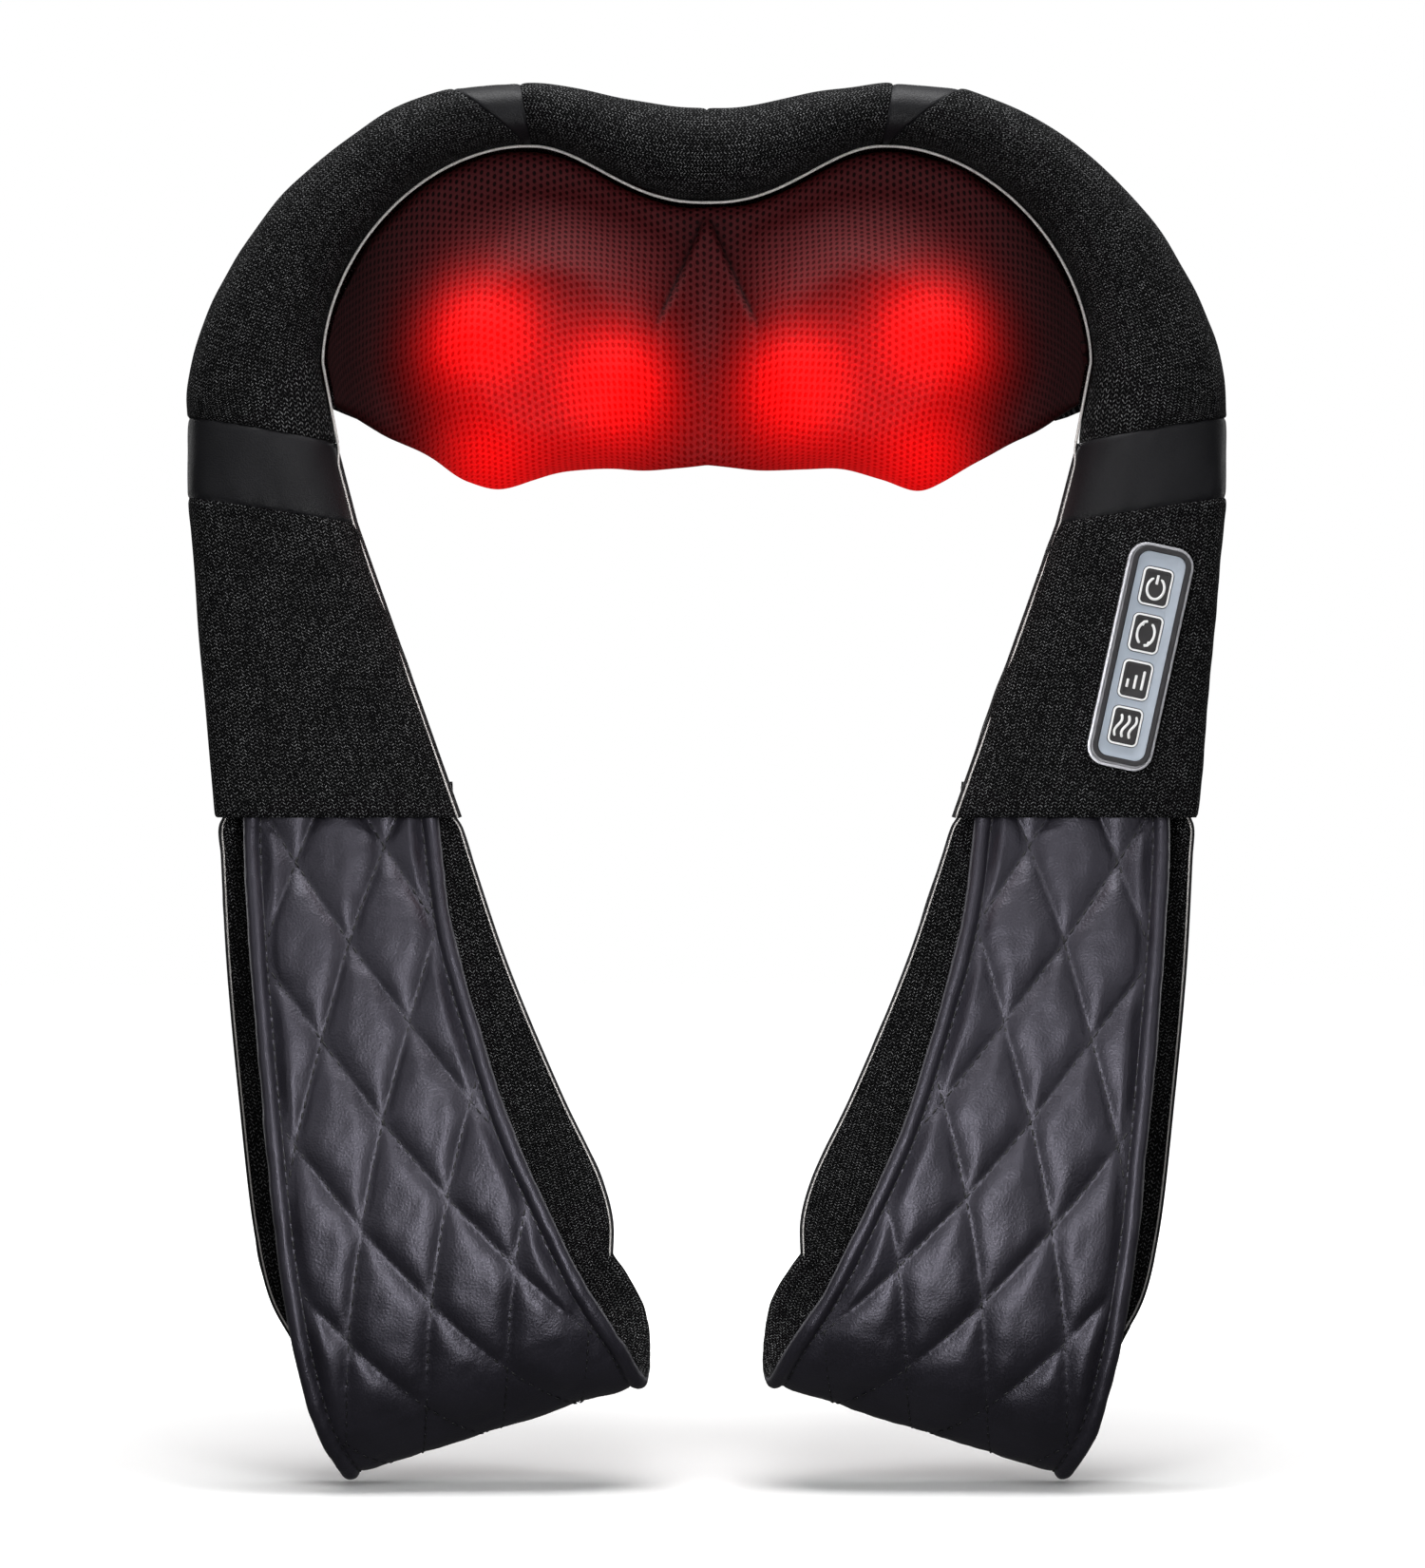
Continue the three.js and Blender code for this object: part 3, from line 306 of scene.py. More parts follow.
class Shader:
    """Builds one material's nodes."""

    def __init__(self, name: str) -> None:
        """Starts a material that holds one surface shader."""
        self.material = bpy.data.materials.new(name)
        self.material.use_nodes = True
        self.tree = self.material.node_tree
        self.surface = self.tree.nodes["Principled BSDF"]

    def node(self, kind: str, **settings: object) -> bpy.types.Node:
        """Adds a node and sets its properties."""
        made = self.tree.nodes.new(kind)
        for key, value in settings.items():
            setattr(made, key, value)
        return made

    def feed(self, socket: bpy.types.NodeSocket, value: object) -> None:
        """Links a socket to another, or sets it to a plain value."""
        if isinstance(value, bpy.types.NodeSocket):
            self.tree.links.new(value, socket)
        else:
            socket.default_value = value

    def math(self, operation: str, a: object, b: object = 0.0, c: object = 0.0) -> bpy.types.NodeSocket:
        """One arithmetic step on two or three values.

        Args:
            operation: The step, such as ADD.
            a: Its first value, a socket or a number.
            b: Its second value.
            c: Its third value.

        Returns:
            The result.
        """
        made = self.node("ShaderNodeMath", operation=operation)
        for socket, value in zip(made.inputs, (a, b, c)):
            self.feed(socket, value)
        return made.outputs[0]

    def fade(
        self, value: object, low: float, high: float, start: float = 0.0, end: float = 1.0
    ) -> bpy.types.NodeSocket:
        """A smooth step of value from low to high, remapped to start and end.

        Args:
            value: What is stepped.
            low: Where the step starts.
            high: Where it ends.
            start: The result below the step.
            end: The result above it.

        Returns:
            The result.
        """
        made = self.node("ShaderNodeMapRange", interpolation_type="SMOOTHSTEP")
        for socket, given in zip(made.inputs, (value, low, high, start, end)):
            self.feed(socket, given)
        return made.outputs[0]

    def tint(self, share: object, a: object, b: object) -> bpy.types.NodeSocket:
        """A colour between a and b.

        Args:
            share: How much of b is in it, from 0 to 1.
            a: A colour or a socket.
            b: A colour or a socket.

        Returns:
            The mixed colour.
        """
        made = self.node("ShaderNodeMix", data_type="RGBA")
        self.feed(made.inputs["Factor"], share)
        for socket, value in zip((made.inputs[6], made.inputs[7]), (a, b)):
            self.feed(socket, (*value, 1.0) if isinstance(value, tuple) else value)
        return made.outputs[2]

    def place(self) -> bpy.types.NodeSocket:
        """The piece's own coordinates, in metres."""
        return self.node("ShaderNodeTexCoord").outputs["Object"]

    def cloth(self, across: float, along: float, turn: float = 0.0) -> bpy.types.NodeSocket:
        """The cloth map, counted in threads.

        Args:
            across: Thread pitch across, in millimetres.
            along: Thread pitch along, in millimetres.
            turn: How far the pattern is turned, in radians.

        Returns:
            A vector whose x and y count threads.
        """
        mapping = self.node("ShaderNodeMapping")
        self.feed(mapping.inputs["Vector"], self.node("ShaderNodeUVMap", uv_map="cloth").outputs[0])
        mapping.inputs["Rotation"].default_value = (0, 0, turn)
        mapping.inputs["Scale"].default_value = (1 / (across * MM), 1 / (along * MM), 1)
        return mapping.outputs[0]

    def noise(self, size: float, vector: object = None, detail: float = 2.0) -> bpy.types.NodeSocket:
        """Soft noise with patches of about the given size in millimetres, or in units of vector.

        Args:
            size: The size of its patches.
            vector: What it is laid on; None takes the piece's own coordinates.
            detail: How many finer layers it has.

        Returns:
            The noise, from 0 to 1.
        """
        made = self.node("ShaderNodeTexNoise")
        self.feed(made.inputs["Vector"], vector or self.place())
        made.inputs["Scale"].default_value = 1 / size if vector else 1 / (size * MM)
        made.inputs["Detail"].default_value = detail
        return made.outputs[0]

    def bump(self, height: object, depth: float) -> None:
        """Roughens the surface by a height, in millimetres.

        Args:
            height: A socket with the height, from 0 to 1.
            depth: How deep 1 is.
        """
        made = self.node("ShaderNodeBump")
        made.inputs["Distance"].default_value = depth * MM
        made.inputs["Strength"].default_value = 1.0
        self.feed(made.inputs["Height"], height)
        self.feed(self.surface.inputs["Normal"], made.outputs[0])

    def set(self, **values: object) -> None:
        """Feeds the surface shader's sockets, named with _ for a space."""
        for key, value in values.items():
            self.feed(self.surface.inputs[key.replace("_", " ")], value)


@dataclass(frozen=True)
class WovenCloth:
    """Black cover cloth whose pale yarn shows as small slanting flecks."""

    name: str = "woven_cloth"
    slot: str = "woven_cover"
    ground: Colour = (0.0012, 0.0012, 0.0014)
    yarn: Colour = (0.16, 0.162, 0.165)
    columns: float = 2.9
    rows: float = 1.45

    def material(self) -> bpy.types.Material:
        """Builds the cloth's nodes: short strokes that slant one way and the other in turn."""
        s = Shader(self.name)
        thread = s.cloth(self.columns, self.rows)
        split = s.node("ShaderNodeSeparateXYZ")
        s.feed(split.inputs[0], thread)
        zigzag = s.math("PINGPONG", split.outputs[0], 0.5)
        slant = s.math("MULTIPLY_ADD", zigzag, 2.0, split.outputs[1])
        rib = s.math("SINE", s.math("MULTIPLY", slant, 2 * math.pi))
        column = s.math("ABSOLUTE", s.math("SINE", s.math("MULTIPLY", split.outputs[0], 2 * math.pi)))
        weave = s.math("MULTIPLY", s.math("MULTIPLY_ADD", rib, 0.5, 0.5), s.fade(column, 0.0, 0.7, 0.25, 1.0))
        fine = s.math("MULTIPLY", s.noise(0.45, thread, 0.0), 0.65)
        speck = s.math("MULTIPLY_ADD", s.noise(1.1, thread, 1.0), 0.35, fine)
        fleck = s.fade(speck, 0.42, 0.64, 0.06, 1.0)
        patch = s.fade(s.noise(11.0), 0.3, 0.72, 0.6, 1.0)
        shown = s.math("MULTIPLY", s.math("MULTIPLY", fleck, patch), s.fade(weave, 0.45, 0.95))
        s.set(Base_Color=s.tint(shown, self.ground, self.yarn), Roughness=0.9, Specular_IOR_Level=0.05)
        s.bump(s.math("MULTIPLY_ADD", fleck, 0.3, weave), 0.22)
        return s.material


@dataclass(frozen=True)
class Leather:
    """Grained leather."""

    name: str
    base: Colour
    light: Colour
    grain: float = 0.9
    gloss: float = 0.42
    specular: float = 0.5
    sheen: Colour = (1.0, 1.0, 1.0)
    slot: str = "leather"

    def material(self) -> bpy.types.Material:
        """Builds the leather's nodes."""
        s = Shader(self.name)
        pores = s.node("ShaderNodeTexVoronoi", feature="SMOOTH_F1")
        s.feed(pores.inputs["Vector"], s.place())
        pores.inputs["Scale"].default_value = 1 / (self.grain * MM)
        pores.inputs["Smoothness"].default_value = 0.6
        cell = pores.outputs["Distance"]
        wear = s.fade(s.noise(22.0, detail=3.0), 0.35, 0.7)
        s.set(Base_Color=s.tint(wear, self.base, self.light))
        s.set(Roughness=s.math("MULTIPLY_ADD", cell, 0.22, self.gloss), Specular_IOR_Level=self.specular)
        s.set(Specular_Tint=(*self.sheen, 1.0))
        s.bump(s.math("MULTIPLY_ADD", s.noise(0.45), 0.35, s.math("MULTIPLY", cell, -1.0)), 0.1)
        return s.material


@dataclass(frozen=True)
class Glow:
    """A patch of painted red glow on the mesh, standing for a lamp behind it: its middle, its spread and its
    strength.
    """

    x: float
    z: float
    spread: float
    strength: float


@dataclass(frozen=True)
class LitMesh:
    """Perforated spacer mesh with a painted red glow that stands for lamps behind it."""

    glows: tuple[Glow, ...]
    pleat: tuple[Pair, Pair]
    name: str = "lit_mesh"
    slot: str = "mesh_fabric"
    base: Colour = (0.046, 0.0085, 0.01)
    hole: Colour = (0.0012, 0.0004, 0.0005)
    across: float = 3.2
    along: float = 2.8

    def holes(self, s: Shader) -> bpy.types.NodeSocket:
        """1 in a perforation and 0 on the mesh between, in staggered rows.

        Args:
            s: The material that is being built.

        Returns:
            The pattern.
        """
        split = s.node("ShaderNodeSeparateXYZ")
        s.feed(split.inputs[0], s.cloth(self.across, self.along))
        row = s.math("FLOOR", split.outputs[1])
        shift = s.math("MULTIPLY", s.math("FLOORED_MODULO", row, 2.0), 0.5)
        x = s.math("SUBTRACT", s.math("FRACT", s.math("ADD", split.outputs[0], shift)), 0.5)
        y = s.math("SUBTRACT", s.math("FRACT", split.outputs[1]), 0.5)
        x, y = s.math("MULTIPLY", x, self.across * 0.75), s.math("MULTIPLY", y, self.along)
        away = s.math("SQRT", s.math("ADD", s.math("MULTIPLY", x, x), s.math("MULTIPLY", y, y)))
        return s.fade(away, 0.95, 0.55)

    def light(self, s: Shader) -> bpy.types.NodeSocket:
        """The painted glow of all lamps together.

        Args:
            s: The material that is being built.

        Returns:
            How strongly the painted glow shows.
        """
        total: object = 0.0
        for glow in self.glows:
            offset = s.node("ShaderNodeVectorMath", operation="SUBTRACT")
            s.feed(offset.inputs[0], s.place())
            offset.inputs[1].default_value = (glow.x * MM, 0, glow.z * MM)
            flat = s.node("ShaderNodeVectorMath", operation="MULTIPLY")
            s.feed(flat.inputs[0], offset.outputs[0])
            flat.inputs[1].default_value = (1, 0, 1)
            length = s.node("ShaderNodeVectorMath", operation="LENGTH")
            s.feed(length.inputs[0], flat.outputs[0])
            near = s.math("POWER", s.math("MULTIPLY", length.outputs["Value"], 1 / (glow.spread * MM)), 2.0)
            shine = s.math("EXPONENT", s.math("MULTIPLY", near, -1.0))
            total = s.math("MULTIPLY_ADD", shine, glow.strength, total)
        return total

    def shade(self, s: Shader) -> bpy.types.NodeSocket:
        """Painted shade in the pleat's creases and at the window's sides, up to 1.

        Args:
            s: The material that is being built.

        Returns:
            The painted shade.
        """
        split = s.node("ShaderNodeSeparateXYZ")
        s.feed(split.inputs[0], s.place())
        reach = s.math("ABSOLUTE", split.outputs[0])
        (_, top), (wide, low) = self.pleat
        share = s.math("DIVIDE", s.math("SUBTRACT", top * MM, split.outputs[2]), (top - low) * MM)
        aside = s.math("DIVIDE", s.math("SUBTRACT", reach, s.math("MULTIPLY", share, wide * MM)), MM)
        # Painted shade: a dark line along each crease, and a softer shade falling off on its outer side.
        line = s.math("EXPONENT", s.math("MULTIPLY", s.math("POWER", s.math("DIVIDE", aside, 1.5), 2.0), -1.0))
        fall = s.math("MULTIPLY", s.fade(aside, 14.0, 0.0), s.math("GREATER_THAN", aside, 0.0))
        depth = s.math("MULTIPLY_ADD", fall, 0.3, s.math("MULTIPLY", line, 0.5))
        ends = s.math("MULTIPLY", s.fade(share, 0.0, 0.12), s.fade(share, 1.15, 0.8))
        # Painted shade: the window's sides darker, where the cloth turns away from the light.
        sides = s.fade(reach, 0.105, 0.15, 0.0, 0.75)
        return s.math("MINIMUM", s.math("MULTIPLY_ADD", depth, ends, sides), 0.9)

    def material(self) -> bpy.types.Material:
        """Builds the mesh's nodes."""
        s = Shader(self.name)
        hole = self.holes(s)
        light = self.light(s)
        # The painted shade darkens both the cloth's colour and its painted glow.
        unshaded = s.math("SUBTRACT", 1.0, self.shade(s))
        fine = s.fade(s.noise(1.1, detail=1.0), 0.35, 0.7, 0.82, 1.06)
        # Painted glow: red emission that stands for the lamps behind the mesh, a little weaker in the holes and
        # dimmed by the painted shade.
        painted_glow = s.math("MULTIPLY", s.math("MULTIPLY", light, fine), s.math("MULTIPLY_ADD", hole, -0.3, 1.0))
        painted_glow = s.math("MULTIPLY", painted_glow, unshaded)
        cloth = s.math("MULTIPLY", unshaded, s.math("SUBTRACT", 1.0, hole))
        s.set(Base_Color=s.tint(cloth, self.hole, self.base), Roughness=0.65, Specular_IOR_Level=0.06)
        s.set(Emission_Color=(1.0, 0.0, 0.0, 1.0), Emission_Strength=painted_glow)
        s.bump(s.math("MULTIPLY_ADD", hole, -1.0, s.math("MULTIPLY", s.noise(0.6), 0.4)), 0.35)
        return s.material


@dataclass(frozen=True)
class Yarn:
    """Piping cord or sewing thread, with a fine twist."""

    name: str
    base: Colour
    shade: Colour
    slot: str = "piping"
    gloss: float = 0.45

    def material(self) -> bpy.types.Material:
        """Builds the cord's nodes."""
        s = Shader(self.name)
        twist = s.noise(0.5, detail=1.0)
        s.set(Base_Color=s.tint(s.fade(twist, 0.35, 0.65), self.shade, self.base), Roughness=self.gloss)
        s.bump(twist, 0.08)
        return s.material


@dataclass(frozen=True)
class Moulded:
    """Moulded plastic, silicone or a circuit board, with a fine surface texture."""

    name: str
    base: Colour
    gloss: float
    slot: str = "black_plastic"
    texture: float = 0.5
    depth: float = 0.03

    def material(self) -> bpy.types.Material:
        """Builds the plastic's nodes."""
        s = Shader(self.name)
        shade = tuple(0.82 * c for c in self.base)
        s.set(Base_Color=s.tint(s.noise(9.0), shade, self.base))
        s.set(Roughness=s.fade(s.noise(6.0), 0.2, 0.8, self.gloss, self.gloss + 0.12))
        s.bump(s.noise(self.texture), self.depth)
        return s.material


@dataclass(frozen=True)
class Metal:
    """Plated or machined metal with fine wear."""

    name: str
    base: Colour
    gloss: float
    slot: str = "steel"

    def material(self) -> bpy.types.Material:
        """Builds the metal's nodes."""
        s = Shader(self.name)
        worn = s.noise(3.0, detail=4.0)
        dull = tuple(0.7 * c for c in self.base)
        s.set(Base_Color=s.tint(worn, dull, self.base), Metallic=1.0)
        s.set(Roughness=s.fade(worn, 0.3, 0.7, self.gloss, self.gloss + 0.15))
        s.bump(s.noise(0.4), 0.01)
        return s.material


def dress(piece: bpy.types.Object, finish: object) -> bpy.types.Object:
    """Gives a piece one finish all over.

    Args:
        piece: The piece.
        finish: Its finish.

    Returns:
        The piece.
    """
    piece.data.materials.clear()
    piece.data.materials.append(shared(finish))
    return piece


MATERIALS: dict[str, bpy.types.Material] = {}


def shared(finish: object) -> bpy.types.Material:
    """A finish's material, built the first time that it is asked for.

    Args:
        finish: The finish.

    Returns:
        The material.
    """
    if finish.name not in MATERIALS:
        MATERIALS[finish.name] = finish.material()
    return MATERIALS[finish.name]


WOVEN = WovenCloth()
STRAP_LEATHER = Leather(
    "strap_leather", (0.0055, 0.005, 0.0075), (0.0095, 0.0088, 0.0125), 1.0, 0.33, 0.62, (0.87, 0.84, 1.0)
)
TRIM_LEATHER = Leather("trim_leather", (0.0042, 0.0042, 0.0054), (0.006, 0.006, 0.0075), 0.7, 0.46, 0.2)
CORD_LEATHER = Leather("cord_leather", (0.0025, 0.0025, 0.003), (0.004, 0.004, 0.005), 0.5, 0.35, 0.25)
# The pale piping colour: along the tail and arm cords it is a painted highlight on black piping; round the window it
# is the piping's pale grey with its highlight painted in.
PIPING_HIGHLIGHT = Yarn("piping_highlight", (0.62, 0.6, 0.58), (0.4, 0.38, 0.37))
THREAD = Yarn("black_thread", (0.006, 0.006, 0.007), (0.002, 0.002, 0.003), slot="leather", gloss=0.5)


# ---- the yoke's path -------------------------------------------------------------------------------


@dataclass(frozen=True)
class Station:
    """One cross-section of the yoke: its edges as distance from the middle and height, and its fullness."""

    outer: Pair
    inner: Pair
    depth: float
    power: float


@dataclass(frozen=True)
class YokePath:
    """One half of the yoke from the centre seam down to the hem, counted in stages.

    Stage 0 is the bolster, 1 the wedge, 2 and 3 the shoulder, 4 the band and 5 the sleeve.
    """

    plane: float = 26.0
    side: float = 217.5
    crown: float = 29.0
    window_crown: float = 3.6
    seam_reach: float = 78.0
    shoulder_drop: float = 105.0
    shoulder_power: float = 1.72
    shoulder_start: float = 0.11
    window_reach: float = 161.5
    window_drop: float = 88.0
    window_power: float = 1.85
    band_top: Pair = (62.3, -110.6)
    band_bottom: Pair = (71.0, -144.2)
    band_slant: float = 11.0
    hem: tuple[float, float, float] = (11.5, 103.0, -278.0)
    depths: tuple[float, ...] = (26.0, 26.0, 26.0, 24.0, 22.0, 20.5, 14.5)
    powers: tuple[float, ...] = (2.4, 2.4, 2.4, 2.4, 2.4, 3.0, 5.0)

    def quarter(self, centre: Pair, reach: float, rise: float, power: float, t: float) -> Pair:
        """A point on a squared-off quarter turn, from its top at 0 to its side at 1.

        Args:
            centre: The turn's centre.
            reach: How far it goes sideways.
            rise: How far it goes up.
            power: How square it is; 2 is round.
            t: The place on it.

        Returns:
            The point.
        """
        angle = (1 - t) * math.pi / 2
        over, up = max(math.cos(angle), 0) ** (2 / power), max(math.sin(angle), 0) ** (2 / power)
        return centre[0] + reach * over, centre[1] + rise * up

    def outer_turn(self, t: float) -> Pair:
        """The shoulder's outer edge.

        Args:
            t: The place on it, from the wedge at 0 to the side at 1.

        Returns:
            The point.
        """
        x, z = self.seam_reach + 12, -self.shoulder_drop
        share = mix(self.shoulder_start, 1, t)
        return self.quarter((x, z), self.side - x, self.crown - z, self.shoulder_power, share)

    def inner_turn(self, t: float) -> Pair:
        """The shoulder's inner edge, which is the window's upper corner.

        Args:
            t: The place on it, from the wedge at 0 to the side at 1.

        Returns:
            The point.
        """
        x, z = self.seam_reach - 2, -self.window_drop
        return self.quarter((x, z), self.window_reach - x, self.window_crown - z, self.window_power, t)

    def band_edges(self, width: float, height: float) -> tuple[Pair, Pair]:
        """The ends of one edge of the band."""
        return (self.side, height), (self.side - width, height - self.band_slant)

    def station(self, u: float) -> Station:
        """The cross-section at u stages from the centre seam.

        Args:
            u: Stages from the centre seam, from 0 to 6.

        Returns:
            The cross-section.
        """
        stage = min(int(u), 5)
        t = u - stage
        seam = (self.seam_reach, self.crown), (self.seam_reach - 4.5, self.window_crown)
        turn = self.outer_turn(0), self.inner_turn(0)
        drop = self.outer_turn(1), self.inner_turn(1)
        top, bottom = self.band_edges(*self.band_top), self.band_edges(*self.band_bottom)
        inset, width, low = self.hem
        hem = (self.side - inset, low), (self.side - inset - width, low)
        if stage == 0:
            outer = mix(0, seam[0][0], t), mix(18.8, seam[0][1], ease(t))
            inner = mix(0, seam[1][0], t), mix(-20.0, seam[1][1], ease(max(t, 0.0) ** 1.2))
        elif stage == 2:
            outer, inner = self.outer_turn(t), self.inner_turn(t)
        else:
            a, b = {1: (seam, turn), 3: (drop, top), 4: (top, bottom), 5: (bottom, hem)}[stage]
            outer, inner = blend_points(a[0], b[0], t), blend_points(a[1], b[1], t)
        depth = mix(self.depths[stage], self.depths[stage + 1], t)
        return Station(outer, inner, depth, mix(self.powers[stage], self.powers[stage + 1], t))

    def ring(self, u: float, side: Side, count: int, inset: float = 0.0) -> np.ndarray:
        """Evenly spread points round the cross-section at u.

        Args:
            u: Stages from the centre seam.
            side: The arm that it belongs to.
            count: How many points; the first is on the inner edge and a quarter of the way is the front.
            inset: How far inside the full section the ring lies.

        Returns:
            The points, in millimetres.
        """
        at = self.station(u)
        outer, inner = np.array(at.outer), np.array(at.inner)
        half = (inner - outer) / 2
        angle = np.linspace(0, 2 * math.pi, 721)
        along = bend(np.cos(angle), at.power) * (1 - inset / np.linalg.norm(half))
        away = bend(np.sin(angle), at.power) * (at.depth - inset)
        flat = spaced(np.stack([along * np.linalg.norm(half), away], 1), count + 1)[:-1]
        share = flat[:, 0] / np.linalg.norm(half)
        middle = (outer + inner) / 2
        x = side.value * (middle[0] + half[0] * share)
        return np.stack([x, self.plane - flat[:, 1], middle[1] + half[1] * share], 1)

    def inner_edge(self, start: float, end: float, count: int) -> np.ndarray:
        """Points on the inner edge from stage start to end, as distance from the middle and height."""
        return spaced(np.array([self.station(u).inner for u in np.linspace(start, end, 4 * count)]), count)


YOKE = YokePath()


# ---- sewn pads -------------------------------------------------------------------------------------


@dataclass(frozen=True)
class Stretch:
    """A run of the yoke with its length, so that seams keep their size in millimetres."""

    start: float
    end: float
    start_scale: float
    end_scale: float
    rows: int


@dataclass
class SewnPad:
    """One padded tube of the yoke, with seams puckered at its ends.

    Attributes:
        node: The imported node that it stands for.
        side: The arm or side that it is on.
        stretch: Where it runs.
        finish: Its cover.
        last: How its lower end is finished.
        swell: How strongly the cloth undulates, in millimetres.
        seed: Picks the undulation.
        columns: Points round the tube.
    """

    node: str
    side: Side
    stretch: Stretch
    finish: object
    last: Hem = Hem.SEAM
    swell: float = 0.45
    seed: int = 1
    columns: int = 128
    lip: tuple[Pair, ...] = ((-0.3, 1.2), (0.1, 0.8), (0.6, 0.5), (1.3, 0.25), (2.3, 0.08), (3.6, 0.02))
    mouth: tuple[Pair, ...] = ((4.0, 0.0), (1.2, 0.1), (0.3, 0.5), (0.0, 1.2), (0.4, 2.2), (2.0, 2.6), (26.0, 2.8))

    def places(self) -> list[Pair]:
        """Each row's stage and inset, from the first end to the last."""
        run = self.stretch
        first = [(run.start + d / run.start_scale, inset) for d, inset in self.lip]
        if self.last is Hem.OPEN:
            ending = [(run.end - d / run.end_scale, inset) for d, inset in self.mouth]
        else:
            ending = [(run.end - d / run.end_scale, inset) for d, inset in reversed(self.lip)]
        body = np.linspace(first[-1][0], ending[0][0], run.rows + 2)[1:-1]
        return first + [(u, 0.0) for u in body] + ending

    def relief(self, skin: Skin, places: list[Pair]) -> np.ndarray:
        """How far the cloth stands in or out at each point: soft swells, and puckers beside the seams.

        Args:
            skin: The pad's points.
            places: Each row's stage and inset.

        Returns:
            A height for each point.
        """
        p = skin.points
        height = self.swell * (0.7 * ripple(p, self.seed, 52) + 0.3 * ripple(p, self.seed + 1, 20))
        across, along = skin.lengths(self.columns // 4)
        across, along = across[:, :-1], along[:, :-1]
        length = along[-1, 0]
        near = np.exp(-np.minimum(along, length - along) / 7.0)
        pucker = np.sin(across / 2.1 + 2.2 * ripple(p, self.seed + 2, 30))
        shown = np.array([1.0 if inset < 0.8 else 0.0 for _, inset in places])[:, None]
        return (height + 0.28 * near * pucker * min(1.0, self.swell * 2)) * shown

    def build(self) -> bpy.types.Object:
        """Makes the pad, closed at both ends, and dresses it."""
        places = self.places()
        rings = [YOKE.ring(u, self.side, self.columns, inset) for u, inset in places]
        skin = Skin(np.array(rings), True)
        skin = skin.raise_by(self.relief(skin, places))
        piece = skin.build(f"{self.node}_pad", front=self.columns // 4, capped=True)
        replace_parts(piece, self.node)
        dress(piece, self.finish)
        return piece


@dataclass
class Yoke:
    """The bolster, wedges, shoulders, bands and sleeves."""

    bolster: Stretch = Stretch(0.0, 1.0, 78, 78, 38)
    wedge: Stretch = Stretch(1.0, 2.0, 28, 28, 14)
    shoulder: Stretch = Stretch(2.0, 4.0, 150, 22, 84)
    band: Stretch = Stretch(4.0, 5.0, 33.6, 33.6, 18)
    sleeve: Stretch = Stretch(5.0, 6.0, 134, 134, 70)

    def build_side(self, side: Side) -> list[bpy.types.Object]:
        """Makes one side's pads and joins them to their bodies.

        Args:
            side: The side to make.

        Returns:
            The pads.
        """
        name, seed = side.label, 10 if side is Side.LEFT else 40
        fixed = [
            SewnPad(f"{name}_bolster_cover", side, self.bolster, WOVEN, seed=seed, swell=0.5),
            SewnPad(f"{name}_wedge", side, self.wedge, TRIM_LEATHER, seed=seed + 3, swell=0.25),
            SewnPad(f"{name}_shoulder_cover", side, self.shoulder, WOVEN, seed=seed + 6, swell=0.6),
        ]
        pads = [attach(pad.build(), BODY) for pad in fixed]
        band = SewnPad(f"{name}_band", side, self.band, TRIM_LEATHER, seed=seed + 9, swell=0.3).build()
        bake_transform(band)
        sleeve = SewnPad(f"{name}_sleeve_cover", side, self.sleeve, WOVEN, Hem.OPEN, 0.55, seed + 12, 150).build()
        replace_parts(sleeve, f"{name}_sleeve_foam")
        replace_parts(pads[2], "yoke_foam")
        return [*pads, band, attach(sleeve, side.arm)]


# ---- the lit window --------------------------------------------------------------------------------


